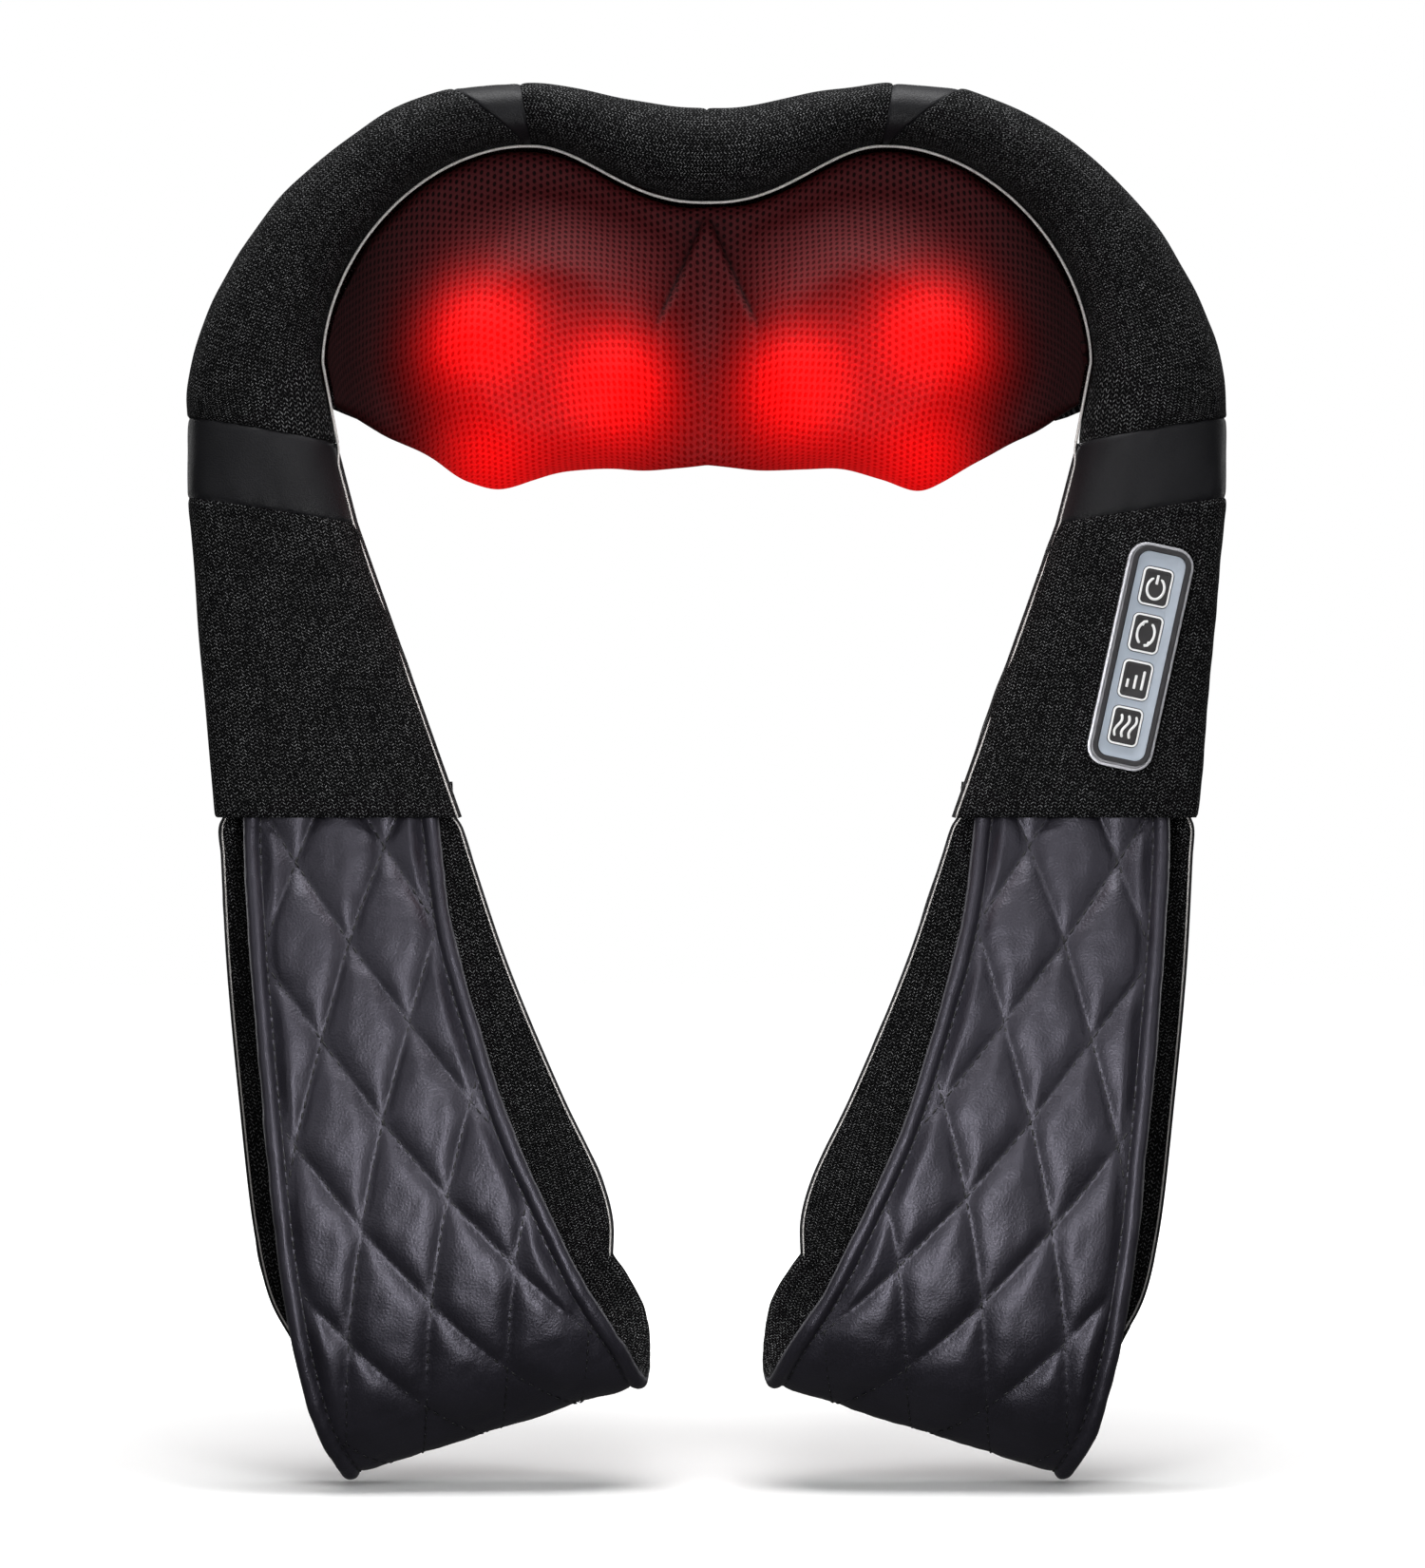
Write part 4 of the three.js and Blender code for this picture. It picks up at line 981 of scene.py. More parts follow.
@dataclass
class MeshWindow:
    """The mesh over the massage heads, with its centre pleat, and the piping round it."""

    head: Pair = (66.0, -86.0)
    depth: float = 41.0
    rim_depth: float = 8.0
    plateau: float = 30.0
    skirt: float = 45.0
    floor: float = 132.4
    under: float = 121.5
    piping_radius: float = 0.6
    piping_depth: float = 5.0
    rim_inset: float = 3.0
    round_from: float = 0.85
    wall: float = 1.6
    zip_reach: float = 99.0
    zip_room: float = 13.0
    nodes: tuple[Pair, ...] = ((92.0, -77.0), (38.5, -94.0))
    pleat: tuple[Pair, Pair] = ((0.0, -25.0), (20.5, -74.0))
    stations: int = 290

    def rim(self, inset: float) -> np.ndarray:
        """The window's edge moved in by inset, from the middle to one side.

        Args:
            inset: How far in it is moved.

        Returns:
            Points as distance from the middle and height.
        """
        edge = YOKE.inner_edge(0.0, 4.0, 320)
        run = np.gradient(edge, axis=0)
        run /= np.linalg.norm(run, axis=1, keepdims=True)
        moved = edge + inset * np.stack([run[:, 1], -run[:, 0]], 1)
        moved[0] = (0.0, edge[0][1] - inset)
        return moved

    def lower_edge(self, outer: Sequence[Pair]) -> np.ndarray:
        """A lower edge from the middle to one side.

        Args:
            outer: Its last points, past the outer node, as distance from the middle and height above the floor.

        Returns:
            Points as distance from the middle and height.
        """
        x = self.head[0]
        sag = [(0, 2), (x - 44, -0.4), (x - 24, 0.4), (x - 6, -0.2), (x + 10, -4.4), (x + 26, -8.6), *outer]
        return curve_through([(s, lift - self.floor) for s, lift in sag], np.linspace(0, 1, 240))

    def front_edge(self) -> np.ndarray:
        """The mesh's lower edge."""
        return self.lower_edge([(104, -5), (118.5, 4), (140.3, 14.5), (163.5, 29)])

    def rear_edge(self) -> np.ndarray:
        """The lower edge of the core behind the mesh."""
        return self.lower_edge([(104, -4), (118.5, 9), (140.3, 20), (163.5, 30)])

    def lift(self, x: np.ndarray, z: np.ndarray) -> np.ndarray:
        """How far the heads push the mesh forward, less the folds of the centre pleat.

        Args:
            x: Distances from the middle.
            z: Heights.

        Returns:
            A distance forward for each place.
        """
        total = np.zeros(np.broadcast(x, z).shape)
        for sign in (-1, 1):
            away = np.hypot(x - sign * self.head[0], z - self.head[1]) - self.plateau
            fall = 0.5 + 0.5 * np.cos(math.pi * np.clip(away / self.skirt, 0, 1))
            total += (self.depth - self.rim_depth) * fall
            for s, height in self.nodes:
                total += 3.2 * np.exp(-((np.hypot(x - sign * s, z - height) / 13.0) ** 2))
        return total - self.pleat_depth(x, z)

    def pleat_depth(self, x: np.ndarray, z: np.ndarray) -> np.ndarray:
        """Depth of the two creases of the centre pleat and of the cloth that they draw in.

        Args:
            x: Distances from the middle.
            z: Heights.

        Returns:
            A depth for each place.
        """
        s = np.abs(x)
        apex, end = self.pleat[0][1], self.pleat[-1][1]
        share = np.clip((apex - z) / (apex - end), 0, 1)
        reach = self.pleat[-1][0] * share
        fade = np.sqrt(np.clip(share / 0.2, 0, 1)) * np.clip((1.12 - share) / 0.3, 0, 1) * (z < apex)
        crease = 2.6 * np.exp(-(((s - reach) / 1.3) ** 2))
        step = 3.4 * np.clip((reach - s) / 1.6 + 0.5, 0, 1) * np.exp(-np.clip(reach - s, 0, None) / 14.0)
        return fade * (crease - step)

    def back_at(self, x: float) -> float:
        """How far back the core pushes the covers out at x."""
        t = (abs(x) - 98.0) / (self.widest() - 100.0)
        return mix(68.0, 31.0, ease(t))

    def widest(self) -> float:
        """Half the width of the mesh at its widest."""
        return float(self.rim(self.rim_inset)[:, 0].max())

    def profile(self, x: float, rim: np.ndarray, edges: tuple[np.ndarray, np.ndarray]) -> np.ndarray:
        """One cross-section of the mesh, from the piping down the front and back under to the zip.

        Args:
            x: Where it is cut, from the middle.
            rim: The window's edge.
            edges: The lower edges of the front and of the back.

        Returns:
            The section's points.
        """
        low, rear_low = edges
        widest = int(rim[:, 0].argmax())
        top = np.interp(abs(x), rim[: widest + 1, 0], rim[: widest + 1, 1])
        bottom = np.interp(abs(x), low[:, 0], low[:, 1])
        v = np.concatenate([np.linspace(0, self.round_from, 88), 1 - 0.15 * np.linspace(1, 0, 26)[1:] ** 1.8])
        z = top + (bottom - top) * v
        turned = np.cbrt(1 - np.clip((v - self.round_from) / (1 - self.round_from), 0, 1) ** 3)
        edge = 1 - (1 - np.clip(v / 0.05, 0, 1)) ** 2
        y = -(self.rim_depth * (0.45 + 0.55 * edge) + self.lift(np.array(x), z)) * turned
        zip_gap = self.zip_room * (1 - min(max((abs(x) - self.zip_reach) / 5.0, 0), 1))
        rear = self.back_at(x) - 11.0 - zip_gap
        under = max(float(np.interp(abs(x), rear_low[:, 0], rear_low[:, 1])), -self.under)
        belly = curve_through([(0, bottom), (rear * 0.42, mix(bottom, under, 0.6)), (rear - 6, under), (rear, under)],
                              np.linspace(0, 1, 22)[1:])
        y, z = np.concatenate([y, belly[:, 0]]), np.concatenate([z, belly[:, 1]])
        lower = rim[widest:]
        reach = rim[widest, 0]
        limit = np.interp(-z, -lower[:, 1], lower[:, 0], left=reach)
        return np.stack([x * limit / reach, y + YOKE.plane, z], 1)

    def build_mesh(self) -> bpy.types.Object:
        """Makes the mesh itself."""
        rim, edges = self.rim(self.rim_inset), (self.front_edge(), self.rear_edge())
        reach = float(rim[:, 0].max())
        t = np.linspace(-1, 1, self.stations)
        xs = reach * (0.35 * t + 0.65 * np.sin(t * math.pi / 2))
        skin = Skin(np.array([self.profile(x, rim, edges) for x in xs]), False, np.array(CORE_MIDDLE))
        skin = skin.raise_by(0.35 * ripple(skin.points, 5, 26))
        piece = skin.build("mesh_window")
        dress(piece, LitMesh(self.glows(), self.pleat))
        thicken(piece, self.wall)
        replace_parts(piece, "mesh_cover")
        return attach(piece, BODY)

    def glows(self) -> tuple[Glow, ...]:
        """The painted glow of the lamps on both sides."""
        one_side = [
            Glow(91.6, -78.0, 20.0, 1.5), Glow(37.6, -98.0, 19.5, 1.4), Glow(92.0, -129.0, 20.0, 0.75),
            Glow(66.0, -98.0, 43.0, 0.36), Glow(60.0, -126.0, 32.0, 0.27), Glow(20.0, -118.0, 23.0, 0.2),
            Glow(110.0, -90.0, 18.0, 0.15),
        ]
        mirrored = [Glow(-g.x, g.z, g.spread, g.strength) for g in one_side]
        return (*one_side, *mirrored)

    def build_piping(self) -> bpy.types.Object:
        """Makes the pale cord round the window: the piping's grey colour with a painted highlight in it."""
        line = self.rim(0.9)
        x = np.concatenate([-line[::-1, 0], line[1:, 0]])
        z = np.concatenate([line[::-1, 1], line[1:, 1]])
        path = spaced(np.stack([x, np.full(len(x), YOKE.plane - self.piping_depth), z], 1), 300)
        piece = cord_skin(path, self.piping_radius).build("window_cord", capped=True)
        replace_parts(dress(piece, PIPING_HIGHLIGHT), "window_piping")
        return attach(piece, BODY)


def thicken(piece: bpy.types.Object, wall: float) -> None:
    """Gives a thin skin a wall that grows inwards, in millimetres.

    Args:
        piece: The skin.
        wall: The wall's thickness.
    """
    modifier = piece.modifiers.new("wall", "SOLIDIFY")
    modifier.thickness, modifier.offset = wall * MM, -1.0
    apply_modifiers(piece)


def apply_modifiers(piece: bpy.types.Object) -> None:
    """Applies all of a piece's modifiers in order."""
    only(piece)
    for modifier in list(piece.modifiers):
        bpy.ops.object.modifier_apply(modifier=modifier.name)


def only(*pieces: bpy.types.Object) -> None:
    """Selects just these pieces, the last of them active."""
    bpy.ops.object.select_all(action="DESELECT")
    for piece in pieces:
        piece.select_set(True)
        bpy.context.view_layer.objects.active = piece


# ---- straps ----------------------------------------------------------------------------------------


@dataclass(frozen=True)
class StrapPath:
    """A flat strap's two edges, measured from the hem's outer end: in, down and forward."""

    outer: tuple[tuple[float, float, float], ...]
    inner: tuple[tuple[float, float, float], ...]

    def edges(self, side: Side, count: int) -> tuple[np.ndarray, np.ndarray]:
        """Both edges as points in millimetres.

        Args:
            side: The arm that it is on.
            count: How many points each edge has.

        Returns:
            The outer and the inner edge.
        """
        shares = np.linspace(0, 1, count)
        found = []
        for knots in (self.outer, self.inner):
            corner = YOKE.side - YOKE.hem[0]
            placed = [(side.value * (corner - i), YOKE.plane - ahead, YOKE.hem[2] - d) for i, d, ahead in knots]
            found.append(curve_through(placed, shares))
        return found[0], found[1]


TAIL_PLANE = -5.45
SLEEVE_FRONT = 6.25
TAIL_PATH = StrapPath(
    outer=((4, -15, TAIL_PLANE), (3.5, -1.5, TAIL_PLANE), (1.6, 4, TAIL_PLANE), (2.2, 17, TAIL_PLANE),
           (4.6, 62, TAIL_PLANE), (9.5, 116, TAIL_PLANE), (16.5, 176, TAIL_PLANE), (23, 203, TAIL_PLANE),
           (33.5, 222, TAIL_PLANE)),
    inner=((99, -15, TAIL_PLANE), (100, -1.5, TAIL_PLANE), (103.2, 4, TAIL_PLANE), (107.4, 17, TAIL_PLANE),
           (122.5, 62, TAIL_PLANE), (145, 116, TAIL_PLANE), (162, 152, TAIL_PLANE), (166.5, 169, TAIL_PLANE),
           (166.5, 184, TAIL_PLANE)),
)
LOOP_PATH = StrapPath(
    outer=((14, -15, SLEEVE_FRONT), (12.5, 4, SLEEVE_FRONT + 2.5), (15.5, 47, 23.4), (20, 92, 35.4),
           (25, 138, 45.8), (30.5, 184, 52), (37.5, 224, 51), (45.5, 254, 41.6), (55, 272.5, 21.8),
           (52, 262, 5.2), (42, 240, TAIL_PLANE + 1), (28, 213.5, TAIL_PLANE)),
    inner=((92, -15, SLEEVE_FRONT), (94.5, 4, SLEEVE_FRONT + 2.5), (101, 47, 23.4), (114, 92, 35.4),
           (127, 130, 45.8), (142, 162, 52), (158, 194, 51), (173, 218, 41.6), (181, 232.5, 21.8),
           (182.5, 222, 5.2), (179, 203, TAIL_PLANE + 1), (165, 180.5, TAIL_PLANE)),
)


@dataclass
class StrapSurface:
    """A strap's middle surface with its front normal, and places on it in millimetres.

    Attributes:
        side: The arm that it is on.
        path: Its edges.
        rows: How many rows run across it.
    """

    side: Side
    path: StrapPath
    rows: int
    outer: np.ndarray = field(init=False)
    inner: np.ndarray = field(init=False)
    middle: np.ndarray = field(init=False)
    front: np.ndarray = field(init=False)
    run: np.ndarray = field(init=False)
    width: np.ndarray = field(init=False)

    def __post_init__(self) -> None:
        """Works out the middle line, the normals and the width at each row."""
        self.outer, self.inner = self.path.edges(self.side, self.rows)
        self.middle = (self.outer + self.inner) / 2
        half = (self.inner - self.outer) / 2
        self.width = 2 * np.linalg.norm(half, axis=1)
        along = np.gradient(self.middle, axis=0)
        normal = np.cross(along, half) * -self.side.value
        normal /= np.linalg.norm(normal, axis=1, keepdims=True)
        self.front = normal if normal[0, 1] < 0 else -normal
        steps = np.linalg.norm(np.diff(self.middle, axis=0), axis=1)
        self.run = np.concatenate([[0], np.cumsum(steps)])

    def point(self, across: np.ndarray, along: np.ndarray, height: np.ndarray) -> np.ndarray:
        """Places given in millimetres from the middle line, down the strap and up from it.

        Args:
            across: Distance from the middle line, towards the inner edge.
            along: Distance down the strap.
            height: Distance in front of its middle surface.

        Returns:
            The points.
        """
        row = np.interp(along, self.run, np.arange(self.rows))
        low = np.clip(row.astype(int), 0, self.rows - 2)
        t = (row - low)[..., None]
        inner, outer, normal, middle = (
            rows[low] * (1 - t) + rows[low + 1] * t for rows in (self.inner, self.outer, self.front, self.middle)
        )
        half = (inner - outer) / 2
        normal /= np.linalg.norm(normal, axis=-1, keepdims=True)
        unit = half / np.linalg.norm(half, axis=-1, keepdims=True)
        return middle + unit * across[..., None] + normal * height[..., None]


@dataclass
class QuiltedLoop:
    """A hand loop: leather stitched in leaning diamonds, with a rolled edge and a woven lining."""

    side: Side
    lean_in: Pair = (18.8, 35.0)
    lean_out: Pair = (-18.7, 42.2)
    origin: Pair = (17.5, 28.0)
    puff: float = 3.6
    taut_from: float = 250.0
    flat: float = 1.3
    lining: float = 2.4
    roll: float = 3.4
    groove: float = 7.2
    stitch: float = 3.4
    pitch: float = 4.7
    rows: int = 330
    middle_columns: int = 62
    edge_marks: tuple[float, ...] = (0.0, 0.25, 0.7, 1.3, 2.0, 2.8, 3.6, 4.4, 5.2, 6.0, 6.6, 7.2, 7.8, 8.6, 9.6)

    def diamond(self, across: np.ndarray, along: np.ndarray) -> tuple[np.ndarray, np.ndarray]:
        """The place counted in diamonds along both rows of stitching.

        Args:
            across: Distances from the middle line.
            along: Distances down the strap.

        Returns:
            The counts along both rows.
        """
        (ax, az), (bx, bz) = self.lean_in, self.lean_out
        x, z = across - self.origin[0], along - self.origin[1]
        scale = ax * bz - bx * az
        return (x * bz - z * bx) / scale, (z * ax - x * az) / scale

    def front_height(self, across: np.ndarray, along: np.ndarray, edge: np.ndarray) -> np.ndarray:
        """Height of the leather over the strap's middle, from the rolled edge to the padded diamonds.

        Args:
            across: Distances from the middle line.
            along: Distances down the strap.
            edge: Distances in from the nearer edge.

        Returns:
            A height for each place.
        """
        a, b = self.diamond(across, along)
        sa, sb = np.abs(np.sin(math.pi * a)), np.abs(np.sin(math.pi * b))
        taut = 1 - 0.85 * np.clip((along - self.taut_from) / 30.0, 0, 1)
        pillow = self.puff * taut * (1 - (1 - sa) ** 2.2) ** 0.9 * (1 - (1 - sb) ** 2.2) ** 0.9
        inside = np.clip((edge - self.groove) / 6.0, 0, 1)
        inside = inside * inside * (3 - 2 * inside)
        rounding = np.sqrt(1 - (1 - np.clip(edge / self.roll, 0, 1)) ** 2)
        rolled = 3.3 * rounding - 2.0 * np.clip((edge - 4.0) / 3.0, 0, 1) ** 1.5
        drawn = -0.5 * np.exp(-(((edge - self.groove) / 0.8) ** 2))
        base = np.where(edge < self.groove, rolled, self.flat)
        return base + pillow * inside + drawn

    def back_height(self, edge: np.ndarray) -> np.ndarray:
        """Depth of the lining behind the strap's middle.

        Args:
            edge: Distances in from the nearer edge.

        Returns:
            A height below zero for each place.
        """
        rounding = np.sqrt(1 - (1 - np.clip(edge / self.roll, 0, 1)) ** 2)
        drawn = 0.7 * np.exp(-(((edge - self.groove) / 1.1) ** 2))
        return -self.lining * rounding + drawn

    def columns(self, width: float) -> np.ndarray:
        """Where the columns stand across the front, from the outer to the inner edge.

        Args:
            width: The strap's width there.

        Returns:
            Distances from the middle line.
        """
        marks = np.array(self.edge_marks)
        middle = np.linspace(-width / 2 + marks[-1], width / 2 - marks[-1], self.middle_columns)[1:-1]
        return np.concatenate([-width / 2 + marks, middle, width / 2 - marks[::-1]])

    def build_strap(self, surface: StrapSurface) -> bpy.types.Object:
        """Makes the strap, leather in front and round its edges and woven behind.

        Args:
            surface: The strap's middle surface.

        Returns:
            The strap, dressed and riding on its arm.
        """
        grid = []
        for row in range(surface.rows):
            front = self.columns(surface.width[row])
            back = front[-2:0:-1][::2]
            along = surface.run[row]
            edge = surface.width[row] / 2 - np.abs(front)
            high = self.front_height(front, np.full_like(front, along), edge)
            low = self.back_height(surface.width[row] / 2 - np.abs(back))
            across, height = np.concatenate([front, back]), np.concatenate([high, low])
            grid.append(surface.point(across, np.full_like(across, along), height))
        points = np.array(grid)
        skin = Skin(points, True)
        fronts = len(self.columns(surface.width[0]))
        wrinkle = 0.22 * ripple(points, 70 + self.side.value, 24) + 0.1 * ripple(points, 80, 7)
        skin = skin.raise_by(wrinkle)
        piece = skin.build(f"{self.side.label}_hand_loop", front=fronts // 2, capped=True)
        dress(piece, STRAP_LEATHER)
        piece.data.materials.append(shared(WOVEN))
        for face in piece.data.polygons:
            face.material_index = int(face.vertices[0] % points.shape[1] >= fronts - 1)
        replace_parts(piece, f"{self.side.label}_loop")
        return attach(piece, self.side.arm)

    def stitch_rows(self, surface: StrapSurface) -> list[np.ndarray]:
        """Every row of stitching as points of across and along.

        Args:
            surface: The strap's middle surface.

        Returns:
            The rows.
        """
        rows = []
        last = surface.run[-1] - 4
        for sign in (-1, 1):
            along = np.linspace(4, last, 160)
            half = np.interp(along, surface.run, surface.width) / 2
            rows.append(np.stack([sign * (half - self.groove), along], 1))
        steps = np.linspace(-14, 14, 1400)
        for fixed in range(-14, 15):
            for a, b in ((np.full_like(steps, fixed), steps), (steps, np.full_like(steps, fixed))):
                across = self.origin[0] + a * self.lean_in[0] + b * self.lean_out[0]
                along = self.origin[1] + a * self.lean_in[1] + b * self.lean_out[1]
                half = np.interp(along, surface.run, surface.width) / 2
                kept = (np.abs(across) < half - self.groove - 1) & (along > 4) & (along < last)
                if kept.sum() > 3:
                    rows.append(np.stack([across[kept], along[kept]], 1))
        return rows

    def build_stitches(self, surface: StrapSurface) -> bpy.types.Object:
        """Makes every stitch of the front as one mesh, copied from a single stitch.

        Args:
            surface: The strap's middle surface.

        Returns:
            The stitching, dressed and riding on its arm.
        """
        stitch = one_stitch(self.stitch)
        placed = []
        for row in self.stitch_rows(surface):
            length = np.linalg.norm(np.diff(row, axis=0), axis=1).sum()
            count = max(int(length / self.pitch), 1)
            ends = spaced(row, 2 * count + 1)
            for i in range(count):
                centre = ends[2 * i + 1]
                heading = ends[2 * i + 2] - ends[2 * i]
                heading = heading / max(np.linalg.norm(heading), 1e-6)
                placed.append(self.place_stitch(surface, stitch, centre, heading))
        piece = merged_copies(f"{self.side.label}_loop_stitching", stitch, placed)
        dress(piece, THREAD)
        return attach(piece, self.side.arm)

    def place_stitch(
        self, surface: StrapSurface, stitch: bpy.types.Mesh, centre: np.ndarray, heading: np.ndarray
    ) -> np.ndarray:
        """One stitch's points, laid along heading on the leather.

        Args:
            surface: The strap's middle surface.
            stitch: The single stitch.
            centre: Its middle, across and along.
            heading: Its direction, across and along.

        Returns:
            The points.
        """
        local = np.array([v.co for v in stitch.vertices])
        across = centre[0] + local[:, 0] * heading[0] - local[:, 1] * heading[1]
        along = centre[1] + local[:, 0] * heading[1] + local[:, 1] * heading[0]
        half = np.interp(centre[1], surface.run, surface.width) / 2
        edge = np.array([half - abs(centre[0])])
        base = self.front_height(np.array([centre[0]]), np.array([centre[1]]), edge)[0]
        return surface.point(across, along, base + 0.2 + local[:, 2])

    def build(self) -> list[bpy.types.Object]:
        """Makes the strap and its stitching."""
        surface = StrapSurface(self.side, LOOP_PATH, self.rows)
        return [self.build_strap(surface), self.build_stitches(surface)]


def one_stitch(length: float) -> bpy.types.Mesh:
    """A single sewn stitch lying along X, in millimetres, with few faces.

    Args:
        length: How long it is.

    Returns:
        Its mesh, on no object.
    """
    bpy.ops.mesh.primitive_uv_sphere_add(segments=6, ring_count=4, radius=0.5)
    bead = bpy.context.object
    with editing(bead):
        bpy.ops.mesh.select_all(action="SELECT")
        bpy.ops.transform.rotate(value=math.pi / 2, orient_axis="Y", center_override=(0, 0, 0))
        bpy.ops.transform.resize(value=(length, 0.85, 0.75))
    mesh = bead.data
    bpy.data.objects.remove(bead)
    return mesh


def merged_copies(name: str, pattern: bpy.types.Mesh, copies: list[np.ndarray]) -> bpy.types.Object:
    """Many copies of one small mesh as a single piece.

    Args:
        name: The piece's name.
        pattern: The mesh that is repeated.
        copies: Each copy's points, in millimetres.

    Returns:
        The new object.
    """
    faces = [list(face.vertices) for face in pattern.polygons]
    count = len(pattern.vertices)
    every = [[v + i * count for v in face] for i in range(len(copies)) for face in faces]
    mesh = bpy.data.meshes.new(name)
    mesh.from_pydata((np.concatenate(copies) * MM).tolist(), [], every)
    mesh.update()
    mesh.shade_smooth()
    piece = bpy.data.objects.new(name, mesh)
    bpy.context.scene.collection.objects.link(piece)
    outward(piece)
    return piece


def outward(piece: bpy.types.Object) -> None:
    """Turns every face of a piece outwards."""
    net = bmesh.new()
    net.from_mesh(piece.data)
    bmesh.ops.recalc_face_normals(net, faces=net.faces)
    net.to_mesh(piece.data)
    net.free()


@contextmanager
def editing(piece: bpy.types.Object) -> Iterator[bmesh.types.BMesh]:
    """Edit mode on one piece, with nothing selected at first.

    Args:
        piece: The piece.

    Yields:
        Its mesh in edit mode.
    """
    only(piece)
    bpy.ops.object.mode_set(mode="EDIT")
    bpy.ops.mesh.select_all(action="DESELECT")
    try:
        yield bmesh.from_edit_mesh(piece.data)
    finally:
        bpy.ops.object.mode_set(mode="OBJECT")


@dataclass
class Tail:
    """The thin woven panel behind a hand loop, with piping along both edges."""

    side: Side
    thick: float = 3.1
    corner: float = 4.0
    cord_inset: float = 0.6
    cord_height: float = 1.2
    cord_radius: float = 0.85
    # The pale line is a painted highlight along the front of the dark cord.
    highlight_inset: float = 1.25
    highlight_height: float = 2.05
    highlight_radius: float = 0.36
    rows: int = 150
    columns: int = 60

    def build_panel(self, surface: StrapSurface) -> bpy.types.Object:
        """Makes the panel, rounded at its outer lower corner.

        Args:
            surface: The tail's middle surface.

        Returns:
            The panel, dressed and riding on its arm.
        """
        grid = []
        turn = np.linspace(0, 2 * math.pi, self.columns, endpoint=False)
        for row in range(surface.rows):
            along, half = surface.run[row], surface.width[row] / 2
            cut = max(0.0, along - (surface.run[-1] - self.corner))
            inset = self.corner - math.sqrt(max(self.corner**2 - cut**2, 0.0))
            centre, reach = inset / 2, half - inset / 2
            across = centre + reach * bend(np.cos(turn), 8.0)
            height = self.thick * bend(np.sin(turn), 2.6) * min(1.0, 0.4 + (surface.run[-1] - along) / 4.0)
            grid.append(surface.point(across, np.full_like(across, along), height))
        points = np.array(grid)
        skin = Skin(points, True)
        skin = skin.raise_by(0.35 * ripple(points, 90 + self.side.value, 38))
        piece = skin.build(f"{self.side.label}_tail_panel", front=self.columns // 4, capped=True)
        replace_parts(dress(piece, WOVEN), f"{self.side.label}_tail")
        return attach(piece, self.side.arm)

    def build_piping(self, surface: StrapSurface, name: str, sign: int) -> list[bpy.types.Object]:
        """Makes the piping of one edge: a dark cord with a pale line along its front, which is a painted highlight.

        Args:
            surface: The tail's middle surface.
            name: The edge's word in the names.
            sign: -1 for the outer edge and 1 for the inner.

        Returns:
            The cord and the line.
        """
        end = self.corner - 2 if sign < 0 else 0.5
        along = np.linspace(surface.run[0] + 2, surface.run[-1] - end, 140)
        half = np.interp(along, surface.run, surface.width) / 2
        pieces = []
        for part, inset, height, radius, finish in (
            ("cord", self.cord_inset, self.cord_height, self.cord_radius, CORD_LEATHER),
            ("line", self.highlight_inset, self.highlight_height, self.highlight_radius, PIPING_HIGHLIGHT),
        ):
            path = surface.point(sign * (half - inset), along, np.full_like(along, height))
            piece = cord_skin(path, radius).build(f"{self.side.label}_tail_{name}_{part}", capped=True)
            pieces.append(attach(dress(piece, finish), self.side.arm))
        return pieces

    def build(self) -> list[bpy.types.Object]:
        """Makes the panel and both cords."""
        surface = StrapSurface(self.side, TAIL_PATH, self.rows)
        piping = [self.build_piping(surface, name, sign) for name, sign in (("outer", -1), ("inner", 1))]
        return [self.build_panel(surface), *piping[0], *piping[1]]


@dataclass
class ArmPiping:
    """The piping down the inner edge of the band and the sleeve."""

    side: Side
    cord_outset: float = 0.3
    cord_ahead: float = 3.0
    cord_radius: float = 0.9
    # The pale line is a painted highlight along the piping.
    highlight_inset: float = 1.0
    highlight_proud: float = 0.1
    highlight_radius: float = 0.4
    window_outset: float = -0.9
    window_ahead: float = 5.0
    joins_over: float = 0.16
    count: int = 160

    def face_depth(self, u: float, inset: float) -> float:
        """How far the pad's face stands in front of its plane, near its inner edge.

        Args:
            u: Stages from the centre seam.
            inset: Distance in from the edge.

        Returns:
            The distance.
        """
        at = YOKE.station(u)
        half = math.dist(at.outer, at.inner) / 2
        return at.depth * (1 - (1 - inset / half) ** at.power) ** (1 / at.power)

    def highlight_path(self) -> np.ndarray:
        """The middle of the pale line, a painted highlight on the piping: it starts where the window's piping ends
        and then lies on the pad's face.
        """
        path = []
        for t in np.linspace(0, 1, self.count):
            u = mix(4.0, 6.0, t)
            x, z = YOKE.station(u).inner
            joined = ease(t / self.joins_over)
            ahead = mix(self.window_ahead, self.face_depth(u, self.highlight_inset) + self.highlight_proud, joined)
            reach = x + mix(self.window_outset, self.highlight_inset, joined)
            path.append((self.side.value * reach, YOKE.plane - ahead, z))
        return np.array(path)

    def cord_path(self) -> np.ndarray:
        """The dark cord's middle, along the silhouette."""
        edge = YOKE.inner_edge(4.0, 6.0, self.count)
        reach = self.side.value * (edge[:, 0] + self.cord_outset)
        return np.stack([reach, np.full(len(edge), YOKE.plane - self.cord_ahead), edge[:, 1]], 1)

    def build(self) -> list[bpy.types.Object]:
        """Makes both cords."""
        pieces = []
        for part, path, radius, finish in (
            ("cord", self.cord_path(), self.cord_radius, CORD_LEATHER),
            ("line", self.highlight_path(), self.highlight_radius, PIPING_HIGHLIGHT),
        ):
            piece = cord_skin(path, radius).build(f"{self.side.label}_arm_{part}", capped=True)
            dress(piece, finish)
            pieces.append(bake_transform(piece))
        return pieces


# ---- the back and what the covers hold --------------------------------------------------------------


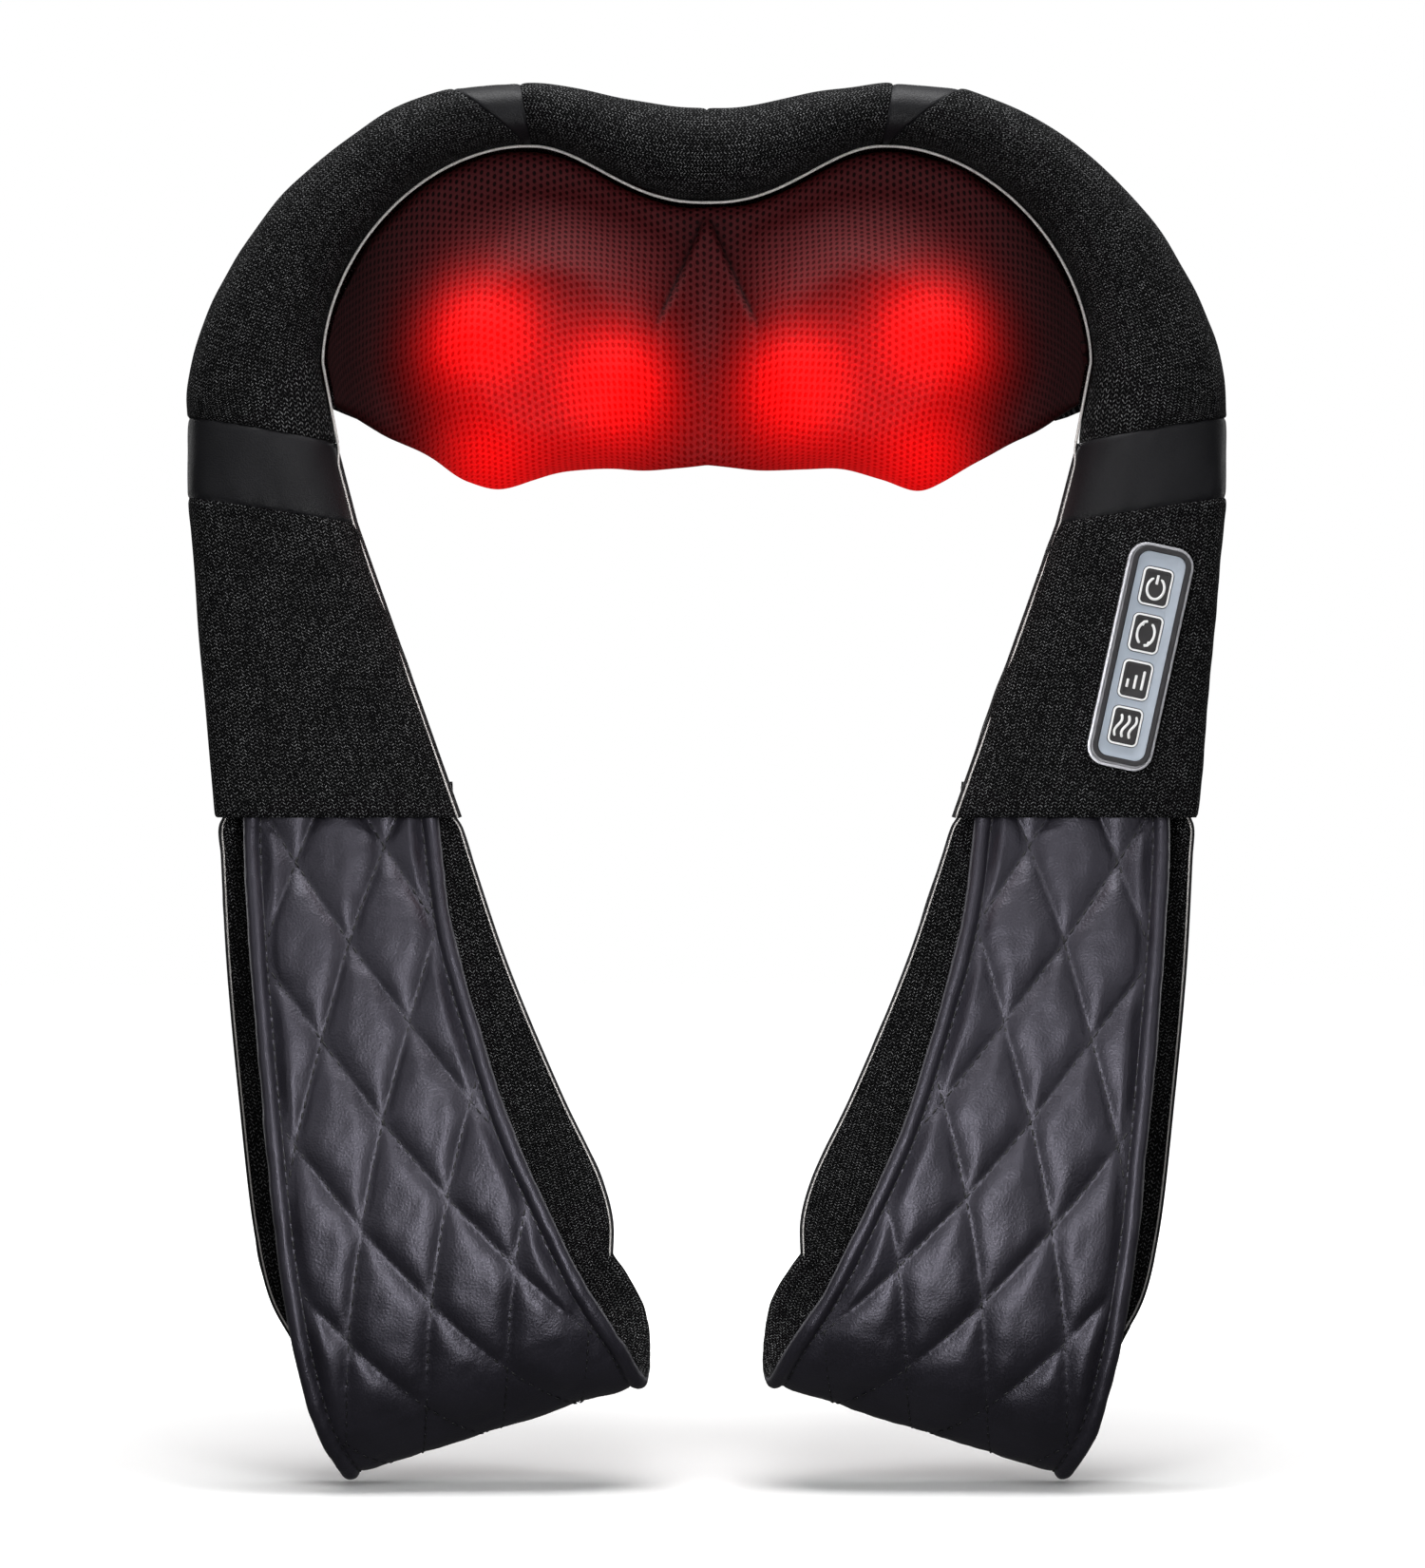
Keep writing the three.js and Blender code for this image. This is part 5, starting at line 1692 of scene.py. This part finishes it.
@dataclass
class RearCover:
    """The woven cover over the back of the core, with its power inlet."""

    window: MeshWindow
    reach: float = 176.0
    lip: float = 28.4
    wall: float = 2.0
    rounding: float = 12.0
    inlet: Pair = (78.0, -98.0)
    inlet_radius: float = 5.9
    seat: float = 0.35
    columns: int = 150

    def profile(self, x: float, top_line: np.ndarray, low: np.ndarray) -> np.ndarray:
        """One cross-section, from the lip behind the yoke down the back and under to the zip.

        Args:
            x: Where it is cut, from the middle.
            top_line: The line behind the yoke that it starts from.
            low: Its lower edge.

        Returns:
            The section's points.
        """
        s = abs(x)
        top = np.interp(s, top_line[:, 0], top_line[:, 1])
        under = max(float(np.interp(s, low[:, 0], low[:, 1])), -self.window.under)
        back = self.window.back_at(x)
        shelf = mix(top, under, 0.4)
        corner = min(self.rounding, (shelf - under) / 3)
        lip = self.lip
        knots = [
            (lip, top), (mix(lip, back, 0.62), mix(top, shelf, 0.22)), (mix(lip, back, 0.92), mix(top, shelf, 0.55)),
            (back, shelf), (back, mix(shelf, under + corner, 0.5)), (back, under + corner),
            (max(back - corner * 0.3, mix(lip, back, 0.7)), under + corner * 0.3),
            (max(back - 6, mix(lip, back, 0.4)), under), (max(back - 9.2, lip), under),
        ]
        line = curve_through(knots, np.linspace(0, 1, 90))
        line[:, 0] = np.minimum(line[:, 0], back)
        return np.stack([np.full(len(line), x), line[:, 0] + YOKE.plane, np.maximum(line[:, 1], under)], 1)

    def build(self) -> bpy.types.Object:
        """Makes the cover, cuts the inlet's hole and dresses it."""
        stations = [YOKE.station(u) for u in np.linspace(0, 4, 300)]
        middle = np.array([blend_points(at.outer, at.inner, self.seat) for at in stations])
        low = self.window.rear_edge()
        xs = np.linspace(-self.reach, self.reach, self.columns)
        skin = Skin(np.array([self.profile(x, middle, low) for x in xs]), False, np.array(CORE_MIDDLE))
        skin = skin.raise_by(0.5 * ripple(skin.points, 61, 45) - 0.5)
        piece = skin.build("back_cover")
        dress(piece, WOVEN)
        thicken(piece, self.wall)
        cut_round_hole(piece, (self.inlet[0], 90.0, self.inlet[1]), self.inlet_radius, 30.0)
        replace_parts(piece, "rear_cover")
        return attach(piece, BODY)


def cut_round_hole(piece: bpy.types.Object, middle: tuple[float, float, float], radius: float, depth: float) -> None:
    """Cuts a round hole along Y, in millimetres.

    Args:
        piece: The piece.
        middle: The hole's middle.
        radius: The hole's radius.
        depth: How far it goes through.
    """
    x, y, z = (v * MM for v in middle)
    bpy.ops.mesh.primitive_cylinder_add(
        radius=radius * MM, depth=depth * MM, location=(x, y, z), rotation=(math.pi / 2, 0, 0)
    )
    tool = bpy.context.object
    modifier = piece.modifiers.new("hole", "BOOLEAN")
    modifier.object, modifier.solver = tool, "EXACT"
    apply_modifiers(piece)
    bpy.data.objects.remove(tool)


@dataclass
class Zip:
    """The zip along the underside: two woven tapes and the chain between them."""

    reach: float = 98.0
    middle: float = 77.3
    low: float = -121.5
    width: float = 12.2
    thick: float = 1.2
    pitch: float = 2.0

    def build_tapes(self) -> bpy.types.Object:
        """Makes both tapes, one of them modelled and the other copied."""
        bpy.ops.mesh.primitive_cube_add(size=1)
        piece = bpy.context.object
        piece.name = "zip_tapes"
        half = self.width / 2 - 1.1
        with editing(piece):
            bpy.ops.mesh.select_all(action="SELECT")
            bpy.ops.transform.resize(value=(2 * self.reach, half, self.thick))
            bpy.ops.mesh.bevel(offset=0.25, segments=2, affect="EDGES")
            bpy.ops.mesh.select_all(action="SELECT")
            bpy.ops.transform.translate(value=(0, 1.1 + half / 2, self.thick / 2))
            bpy.ops.mesh.duplicate()
            bpy.ops.transform.rotate(value=math.pi, orient_axis="Z", center_override=(0, 0, 0))
        settle(piece, Matrix.Translation((0, self.middle, self.low)))
        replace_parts(dress(piece, TAPE), "zip_tape")
        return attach(piece, BODY)

    def build_chain(self) -> bpy.types.Object:
        """Makes the teeth, one modelled and the rest copied in two meshing rows."""
        bpy.ops.mesh.primitive_cube_add(size=1)
        tooth = bpy.context.object
        with editing(tooth):
            bpy.ops.mesh.select_all(action="SELECT")
            bpy.ops.transform.resize(value=(1.25, 3.0, 1.7))
            bpy.ops.mesh.bevel(offset=0.3, segments=2, affect="EDGES")
        local = np.array([v.co for v in tooth.data.vertices])
        count = int((2 * self.reach - 8) / self.pitch)
        copies = []
        for i in range(count):
            for sign in (-1, 1):
                x = (i - count / 2 + 0.25 * sign) * self.pitch
                copies.append(local + (x, self.middle + 0.9 * sign, self.low - 0.1))
        piece = merged_copies("zip_chain", tooth.data, copies)
        bpy.data.objects.remove(tooth)
        dress(piece, BLACK_PLASTIC)
        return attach(piece, BODY)

    def build(self) -> list[bpy.types.Object]:
        """Makes the tapes and the chain."""
        return [self.build_tapes(), self.build_chain()]


def settle(piece: bpy.types.Object, place: Matrix) -> bpy.types.Object:
    """Moves a piece's mesh to its place in millimetres, leaving its object at the origin.

    Args:
        piece: A piece modelled in millimetres about the origin.
        place: Where it goes, in millimetres.

    Returns:
        The piece, now in metres and smooth but for its sharp edges.
    """
    piece.data.transform(Matrix.Scale(MM, 4) @ place)
    piece.data.name = piece.name
    outward(piece)
    only(piece)
    bpy.ops.object.shade_smooth_by_angle(angle=SMOOTH_BELOW)
    return piece


# ---- control pod -----------------------------------------------------------------------------------


def rounded_block(
    name: str, width: float, length: float, corner: float, back: float, front: float
) -> bpy.types.Object:
    """A plate with round corners, facing -Y, in millimetres.

    Args:
        name: The piece's name.
        width: Its size along X.
        length: Its size along Z.
        corner: Its corner radius.
        back: Its rear face's Y.
        front: Its front face's Y.

    Returns:
        The new object.
    """
    bpy.ops.mesh.primitive_cube_add(size=1)
    piece = bpy.context.object
    piece.name = name
    with editing(piece) as net:
        bpy.ops.mesh.select_mode(type="EDGE")
        bpy.ops.mesh.select_all(action="SELECT")
        bpy.ops.transform.resize(value=(width, back - front, length))
        bpy.ops.transform.translate(value=(0, (back + front) / 2, 0))
        bpy.ops.mesh.select_all(action="DESELECT")
        for edge in net.edges:
            ends = [v.co for v in edge.verts]
            edge.select_set(abs(ends[0].y - ends[1].y) > abs(back - front) / 2)
        bpy.ops.mesh.bevel(offset=corner, segments=8, affect="EDGES")
    return piece


def step_in(piece: bpy.types.Object, steps: Sequence[Pair]) -> None:
    """Works the front face of a plate: insets it and moves it back, step by step.

    Args:
        piece: The plate.
        steps: How far in and how far back each step goes, in millimetres.
    """
    with editing(piece) as net:
        bpy.ops.mesh.select_mode(type="FACE")
        front = min(net.faces, key=lambda face: face.calc_center_median().y)
        front.select_set(True)
        for inward, backward in steps:
            if inward:
                bpy.ops.mesh.inset(thickness=inward, use_even_offset=True)
            if backward:
                bpy.ops.mesh.extrude_region_move(TRANSFORM_OT_translate={"value": (0, backward, 0)})


def soften(piece: bpy.types.Object, radius: float, segments: int = 3) -> None:
    """Rounds every sharp edge of a piece, in its modelling units.

    Args:
        piece: The piece.
        radius: The rounding's radius.
        segments: How many steps it has.
    """
    modifier = piece.modifiers.new("edges", "BEVEL")
    modifier.width, modifier.segments, modifier.limit_method = radius, segments, "ANGLE"
    modifier.angle_limit = ROUND_ABOVE
    apply_modifiers(piece)


def arc(start: float, end: float, half_width: float, half_height: float) -> list[Pair]:
    """Points on an oval from start to end, in degrees clockwise from its top.

    Args:
        start: Where it starts.
        end: Where it ends.
        half_width: Half the oval's width.
        half_height: Half its height.

    Returns:
        The points.
    """
    turns = [math.radians(t) for t in np.linspace(start, end, 28)]
    return [(half_width * math.sin(t), half_height * math.cos(t)) for t in turns]


class Icon(Enum):
    """The sign on each key, as strokes of points in units of the sign's half height."""

    POWER = "power"
    DIRECTION = "direction"
    SPEED = "speed"
    HEAT = "heat"

    def strokes(self) -> list[list[Pair]]:
        """The sign's strokes."""
        if self is Icon.POWER:
            ring = [(x, z - 0.12) for x, z in arc(24, 336, 0.72, 0.9)]
            return [ring, [(0.02, 1.02), (0.0, 0.22)]]
        if self is Icon.DIRECTION:
            right, left = arc(28, 158, 0.72, 0.98), arc(208, 338, 0.72, 0.98)
            heads = [[(0.02, -1.02), (0.34, -0.92), (0.42, -0.6)], [(-0.02, 1.02), (-0.34, 0.92), (-0.42, 0.6)]]
            return [right, left, *heads]
        if self is Icon.SPEED:
            return [[(-0.62, -0.72), (-0.62, 0.0)], [(0.0, -0.76), (0.0, 0.42)], [(0.62, -0.76), (0.62, 0.86)]]
        shares = np.linspace(0, 1, 30)
        wave = [(0.17 * math.sin(2.0 * math.pi * t) + 0.1 * (1 - 2 * t), 0.95 - 1.9 * t) for t in shares]
        return [[(x + shift, z) for x, z in wave] for shift in (-0.62, 0.0, 0.62)]


@dataclass
class ControlPod:
    """The control pod: a bright rim, a dark bezel, a pale face and four keys with raised signs."""

    centre: tuple[float, float, float] = (180.2, 8.5, -211.0)
    tilt: float = math.radians(12.2)
    lean: float = math.radians(2.5676)
    size: Pair = (27.6, 94.5)
    corner: float = 8.0
    key: Pair = (12.6, 16.0)
    pad: Pair = (10.9, 14.4)
    key_pitch: float = 19.7
    key_front: float = -4.75
    key_clearance: float = 0.3
    bezel_margin: float = 1.7
    face_margin: float = 3.5
    face_shift: Pair = (0.5, 0.45)
    sign_height: float = 5.0
    line: float = 0.58

    def place(self, up: float = 0.0) -> Matrix:
        """Where the pod stands, or a place on it that lies up its long side."""
        turn = Matrix.Rotation(self.lean, 4, "X") @ Matrix.Rotation(self.tilt, 4, "Y")
        return Matrix.Translation(self.centre) @ turn @ Matrix.Translation((0, 0, up))

    def finish_plate(self, piece: bpy.types.Object, finish: object, place: Matrix) -> bpy.types.Object:
        """Settles a plate, dresses it and lets it ride on the arm.

        Args:
            piece: The plate.
            finish: Its finish.
            place: Where it goes.

        Returns:
            The plate.
        """
        settle(piece, place)
        dress(piece, finish)
        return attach(piece, Side.RIGHT.arm)

    def build_shell(self) -> list[bpy.types.Object]:
        """Makes the rim, the bezel and the face."""
        width, length = self.size
        rim = rounded_block("pod_rim", width, length, self.corner, -0.4, -3.9)
        step_in(rim, [(1.1, 0.0), (0.15, 1.2)])
        soften(rim, 0.55)
        inside = 2 * self.bezel_margin
        bezel = rounded_block("pod_bezel_ring", width - inside, length - inside, self.corner - 1.5, -0.4, -5.0)
        step_in(bezel, [(0.6, 0.0), (1.3, 0.8), (0.3, 1.0)])
        soften(bezel, 0.3)
        shift = Matrix.Translation((self.face_shift[0], 0, self.face_shift[1]))
        inside = 2 * self.face_margin
        face = rounded_block("pod_face", width - inside, length - inside, self.corner - 2.6, -1.8, -3.9)
        with editing(face) as net:
            bpy.ops.mesh.select_mode(type="FACE")
            min(net.faces, key=lambda f: f.calc_center_median().y).select_set(True)
            bpy.ops.mesh.inset(thickness=0.8)
            bpy.ops.mesh.inset(thickness=0.6)
            bpy.ops.transform.translate(value=(0, 0.2, 0))
        for up in self.key_heights():
            self.cut_key_hole(face, up)
        soften(face, 0.25, 2)
        place = self.place()
        shell = [
            self.finish_plate(rim, SILVER, place),
            self.finish_plate(bezel, DARK_BEZEL, place @ shift),
            self.finish_plate(face, PALE_FACE, place @ shift),
        ]
        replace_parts(shell[1], "pod_bezel")
        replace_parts(shell[2], "pod_face_plate")
        return shell

    def cut_key_hole(self, face: bpy.types.Object, up: float) -> None:
        """Cuts one key's opening through the face, clear all round.

        Args:
            face: The pod's face.
            up: How far up the pod the key stands.
        """
        room = 2 * self.key_clearance
        tool = rounded_block("key_hole", self.key[0] + room, self.key[1] + room, 2.8, 2.0, -8.0)
        tool.data.transform(Matrix.Translation((-self.face_shift[0], 0, up - self.face_shift[1])))
        modifier = face.modifiers.new("hole", "BOOLEAN")
        modifier.object, modifier.solver = tool, "EXACT"
        apply_modifiers(face)
        bpy.data.objects.remove(tool)

    def key_heights(self) -> list[float]:
        """How far up the pod each key stands, from power to heat."""
        return [(1.5 - k) * self.key_pitch for k in range(4)]

    def build_key(self, icon: Icon, up: float) -> list[bpy.types.Object]:
        """Makes one key, which rides on its own body.

        Args:
            icon: The key's sign.
            up: How far up the pod it stands.

        Returns:
            The key's border, pad and sign.
        """
        name, body = icon.value, f"{icon.value}_key"
        width, length = self.key
        border = rounded_block(f"{name}_key_border", width, length, 2.5, -1.9, self.key_front)
        step_in(border, [(0.75, 0.0), (0.05, 0.35)])
        soften(border, 0.22)
        pad = rounded_block(f"{name}_key_pad", *self.pad, 1.5, -2.0, self.key_front - 0.05)
        step_in(pad, [(0.9, 0.0), (0.5, 0.18)])
        soften(pad, 0.3)
        strokes = [self.stroke(points) for points in icon.strokes()]
        only(*strokes)
        bpy.ops.object.join()
        sign = bpy.context.object
        sign.name = f"{name}_key_sign"
        place = self.place(up)
        for piece, finish in ((border, WHITE_LINE), (pad, KEY_RUBBER), (sign, WHITE_LINE)):
            settle(piece, place)
            dress(piece, finish)
            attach(piece, body)
        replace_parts(border, f"{name}_button")
        return [border, pad, sign]

    def stroke(self, points: list[Pair]) -> bpy.types.Object:
        """One raised stroke of a sign, rounded at both ends.

        Args:
            points: The stroke's line, in units of the sign's half height.

        Returns:
            The stroke.
        """
        flat = np.array([(x * self.sign_height, self.key_front + 0.15, z * self.sign_height) for x, z in points])
        path = spaced(flat, 26)
        skin = cord_skin(path, self.line, 10, 0.6)
        share = np.linspace(-1, 1, 26)
        swell = np.sqrt(1 - np.clip((np.abs(share) - 0.92) / 0.09, 0, 1) ** 2)[:, None, None]
        middle = path[:, None]
        piece = Skin((middle + (skin.points - middle) * swell) / MM, True).build("stroke", capped=True)
        return piece

    def build(self) -> list[bpy.types.Object]:
        """Makes the whole pod."""
        keys = [self.build_key(icon, up) for icon, up in zip(Icon, self.key_heights())]
        return [*self.build_shell(), *(piece for key in keys for piece in key)]


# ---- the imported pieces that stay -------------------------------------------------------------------


TAPE = Moulded("zip_tape_cloth", (0.008, 0.008, 0.009), 0.8, texture=0.4, depth=0.12)
BLACK_PLASTIC = Moulded("black_plastic", (0.012, 0.012, 0.013), 0.42)
GEAR_PLASTIC = Moulded("gear_plastic", (0.5, 0.48, 0.42), 0.4, slot="gear_plastic")
SILICONE = Moulded("red_silicone", (0.45, 0.02, 0.02), 0.5, slot="red_silicone")
BOARD = Moulded("circuit_board", (0.01, 0.09, 0.04), 0.4, slot="circuit_board")
DARK_BEZEL = Moulded("dark_bezel", (0.014, 0.013, 0.016), 0.6)
PALE_FACE = Moulded("pale_face", (0.38, 0.43, 0.5), 0.45, slot="grey_plastic", depth=0.01)
WHITE_LINE = Moulded("white_marking", (0.88, 0.88, 0.88), 0.45, slot="key_rubber", depth=0.005)
KEY_RUBBER = Moulded("key_rubber", (0.016, 0.0145, 0.016), 0.6, slot="key_rubber")
SILVER = Metal("satin_silver", (0.5, 0.5, 0.53), 0.38, slot="grey_plastic")
STEEL = Metal("steel", (0.45, 0.45, 0.47), 0.35)
BRASS = Metal("brass", (0.6, 0.42, 0.16), 0.35, slot="brass")


@dataclass
class PackedParts:
    """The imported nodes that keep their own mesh, with a finish chosen by the words in their names."""

    nodes: dict[str, bpy.types.Object]
    finishes: tuple[tuple[str, object], ...] = (
        ("node", SILICONE), ("rotor", GEAR_PLASTIC), ("worm_wheel", GEAR_PLASTIC), ("worm", BRASS),
        ("bush", BRASS), ("spindle", STEEL), ("screw", STEEL), ("motor", STEEL), ("zip", STEEL),
        ("board", BOARD), ("housing", BLACK_PLASTIC), ("inlet", BLACK_PLASTIC),
    )

    def dress_all(self) -> list[bpy.types.Object]:
        """Dresses every node that is still shown."""
        dressed = []
        for name, node in self.nodes.items():
            if node.hide_render:
                continue
            finish = next((f for word, f in self.finishes if word in name), BLACK_PLASTIC)
            dressed.append(dress(node, finish))
        return dressed


# ---- studio ----------------------------------------------------------------------------------------


@dataclass(frozen=True)
class SoftLight:
    """A rectangular light that the camera doesn't see: metres, and watts."""

    name: str
    place: tuple[float, float, float]
    target: tuple[float, float, float]
    size: Pair
    power: float

    def hang(self) -> bpy.types.Object:
        """Hangs the light and turns it to its target."""
        lamp = bpy.data.lights.new(self.name, "AREA")
        lamp.shape, lamp.energy = "RECTANGLE", self.power
        lamp.size, lamp.size_y = self.size
        light = bpy.data.objects.new(self.name, lamp)
        light.location = self.place
        heading = Vector(self.target) - Vector(self.place)
        light.rotation_euler = heading.to_track_quat("-Z", "Y").to_euler()
        light.visible_camera = False
        bpy.context.scene.collection.objects.link(light)
        return light


@dataclass
class Studio:
    """The pale floor, the lights and the camera.

    Attributes:
        aim: The point that the camera faces.
        distance: How far the camera stands in front of it.
        lens: The camera's focal length, in millimetres.
        floor: The floor's height.
        floor_reach: The floor's radius.
        shadow_fade: Where the floor's painted white glow starts and ends, from its middle.
        ambient: How bright the surroundings are as a light.
        lights: The lights that shine on everything.
        back_lights: The lights behind, which leave the floor out.
    """

    aim: tuple[float, float, float] = (0.0024, 0.0, -0.264)
    distance: float = 2.39
    lens: float = 132.4
    floor: float = -0.556
    floor_reach: float = 6.0
    shadow_fade: Pair = (0.35, 0.8)
    ambient: float = 0.1
    lights: tuple[SoftLight, ...] = (
        SoftLight("key", (0.0, -0.5, -0.36), (0.0, 0.0, -0.38), (0.1, 0.5), 2.3),
        SoftLight("front", (0.0, -1.6, 0.35), (0.0, 0.0, -0.25), (0.9, 0.9), 4.3),
        SoftLight("top", (0.0, -0.1, 1.0), (0.0, 0.0, -0.5), (1.2, 0.9), 34.0),
        SoftLight("left_strip", (-1.1, -0.9, 0.1), (0.0, 0.0, -0.25), (0.25, 1.2), 2.2),
        SoftLight("right_strip", (1.1, -0.9, 0.1), (0.0, 0.0, -0.25), (0.25, 1.2), 2.2),
    )
    back_lights: tuple[SoftLight, ...] = (
        SoftLight("back", (0.0, 1.6, 0.2), (0.0, 0.0, -0.25), (1.2, 0.5), 14.0),
        SoftLight("left_back_strip", (-1.2, 1.0, 0.1), (0.0, 0.0, -0.25), (0.25, 1.2), 5.0),
        SoftLight("right_back_strip", (1.2, 1.0, 0.1), (0.0, 0.0, -0.25), (0.25, 1.2), 5.0),
    )

    def build_floor(self) -> bpy.types.Object:
        """Makes the round pale floor, whose painted glow turns it as white as the surroundings away from the object.
        """
        mesh = bpy.data.meshes.new("floor")
        turn = np.linspace(0, 2 * math.pi, 96, endpoint=False)
        rim = [(self.floor_reach * math.cos(t), self.floor_reach * math.sin(t), self.floor) for t in turn]
        mesh.from_pydata(rim, [], [tuple(range(len(rim)))])
        floor = bpy.data.objects.new("floor", mesh)
        bpy.context.scene.collection.objects.link(floor)
        s = Shader("floor")
        s.set(Base_Color=(0.93, 0.93, 0.93, 1.0), Roughness=0.9, Specular_IOR_Level=0.1)
        flat = s.node("ShaderNodeVectorMath", operation="MULTIPLY")
        s.feed(flat.inputs[0], s.place())
        flat.inputs[1].default_value = (1.0, 1.0, 0.0)
        away = s.node("ShaderNodeVectorMath", operation="LENGTH")
        s.feed(away.inputs[0], flat.outputs[0])
        # Painted light: the floor glows white away from the object, and only inside that are the real shadows left.
        glow = s.fade(away.outputs["Value"], *self.shadow_fade)
        s.set(Emission_Color=(1.0, 1.0, 1.0, 1.0), Emission_Strength=glow)
        mesh.materials.append(s.material)
        floor.visible_diffuse = floor.visible_glossy = False
        return floor

    def build_world(self) -> None:
        """Makes surroundings that are white to the camera and dim as a light."""
        world = bpy.data.worlds.new("studio")
        world.use_nodes = True
        tree = world.node_tree
        seen = tree.nodes.new("ShaderNodeLightPath").outputs["Is Camera Ray"]
        level = tree.nodes.new("ShaderNodeMapRange")
        tree.links.new(seen, level.inputs[0])
        level.inputs[3].default_value, level.inputs[4].default_value = self.ambient, 1.0
        tree.nodes["Background"].inputs[0].default_value = (1.0, 1.0, 1.0, 1.0)
        tree.links.new(level.outputs[0], tree.nodes["Background"].inputs[1])
        bpy.context.scene.world = world

    def build(self) -> None:
        """Sets the stage, the lights, the camera and the colour transform."""
        left_out = bpy.data.collections.new("left_out_by_back_lights")
        left_out.objects.link(self.build_floor())
        left_out.collection_objects[0].light_linking.link_state = "EXCLUDE"
        for light in self.lights:
            light.hang()
        for light in self.back_lights:
            light.hang().light_linking.receiver_collection = left_out
        self.build_world()
        camera = bpy.data.objects.new("camera", bpy.data.cameras.new("camera"))
        camera.data.lens, camera.data.sensor_width = self.lens, 36.0
        camera.location = (self.aim[0], self.aim[1] - self.distance, self.aim[2])
        camera.rotation_euler = (math.pi / 2, 0, 0)
        bpy.context.scene.collection.objects.link(camera)
        bpy.context.scene.camera = camera
        bpy.context.scene.view_settings.view_transform = "Standard"


# ---- the whole object ------------------------------------------------------------------------------


def report(pieces: Sequence[bpy.types.Object] | bpy.types.Object) -> None:
    """Logs each piece's name, faces and size.

    Args:
        pieces: One piece or several.
    """
    for piece in [pieces] if isinstance(pieces, bpy.types.Object) else pieces:
        size = " x ".join(f"{1000 * v:.0f}" for v in piece.dimensions)
        LOG.info("%-28s %7d faces  %s mm", piece.name, len(piece.data.polygons), size)


def corners(box: tuple[Vector, Vector]) -> list[list[float]]:
    """A box's corners as plain numbers."""
    return [list(map(float, corner)) for corner in box]


def main() -> None:
    """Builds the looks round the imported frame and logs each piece."""
    logging.basicConfig(level=logging.INFO, format="%(message)s")
    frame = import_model()
    for side in Side:
        report(Yoke().build_side(side))
        report(QuiltedLoop(side).build())
        report(Tail(side).build())
        report(ArmPiping(side).build())
    window = MeshWindow()
    report([window.build_mesh(), window.build_piping()])
    report(RearCover(window).build())
    report(Zip().build())
    report(ControlPod().build())
    report(PackedParts(frame["nodes"]).dress_all())
    Studio().build()


if __name__ == "__main__":
    main()
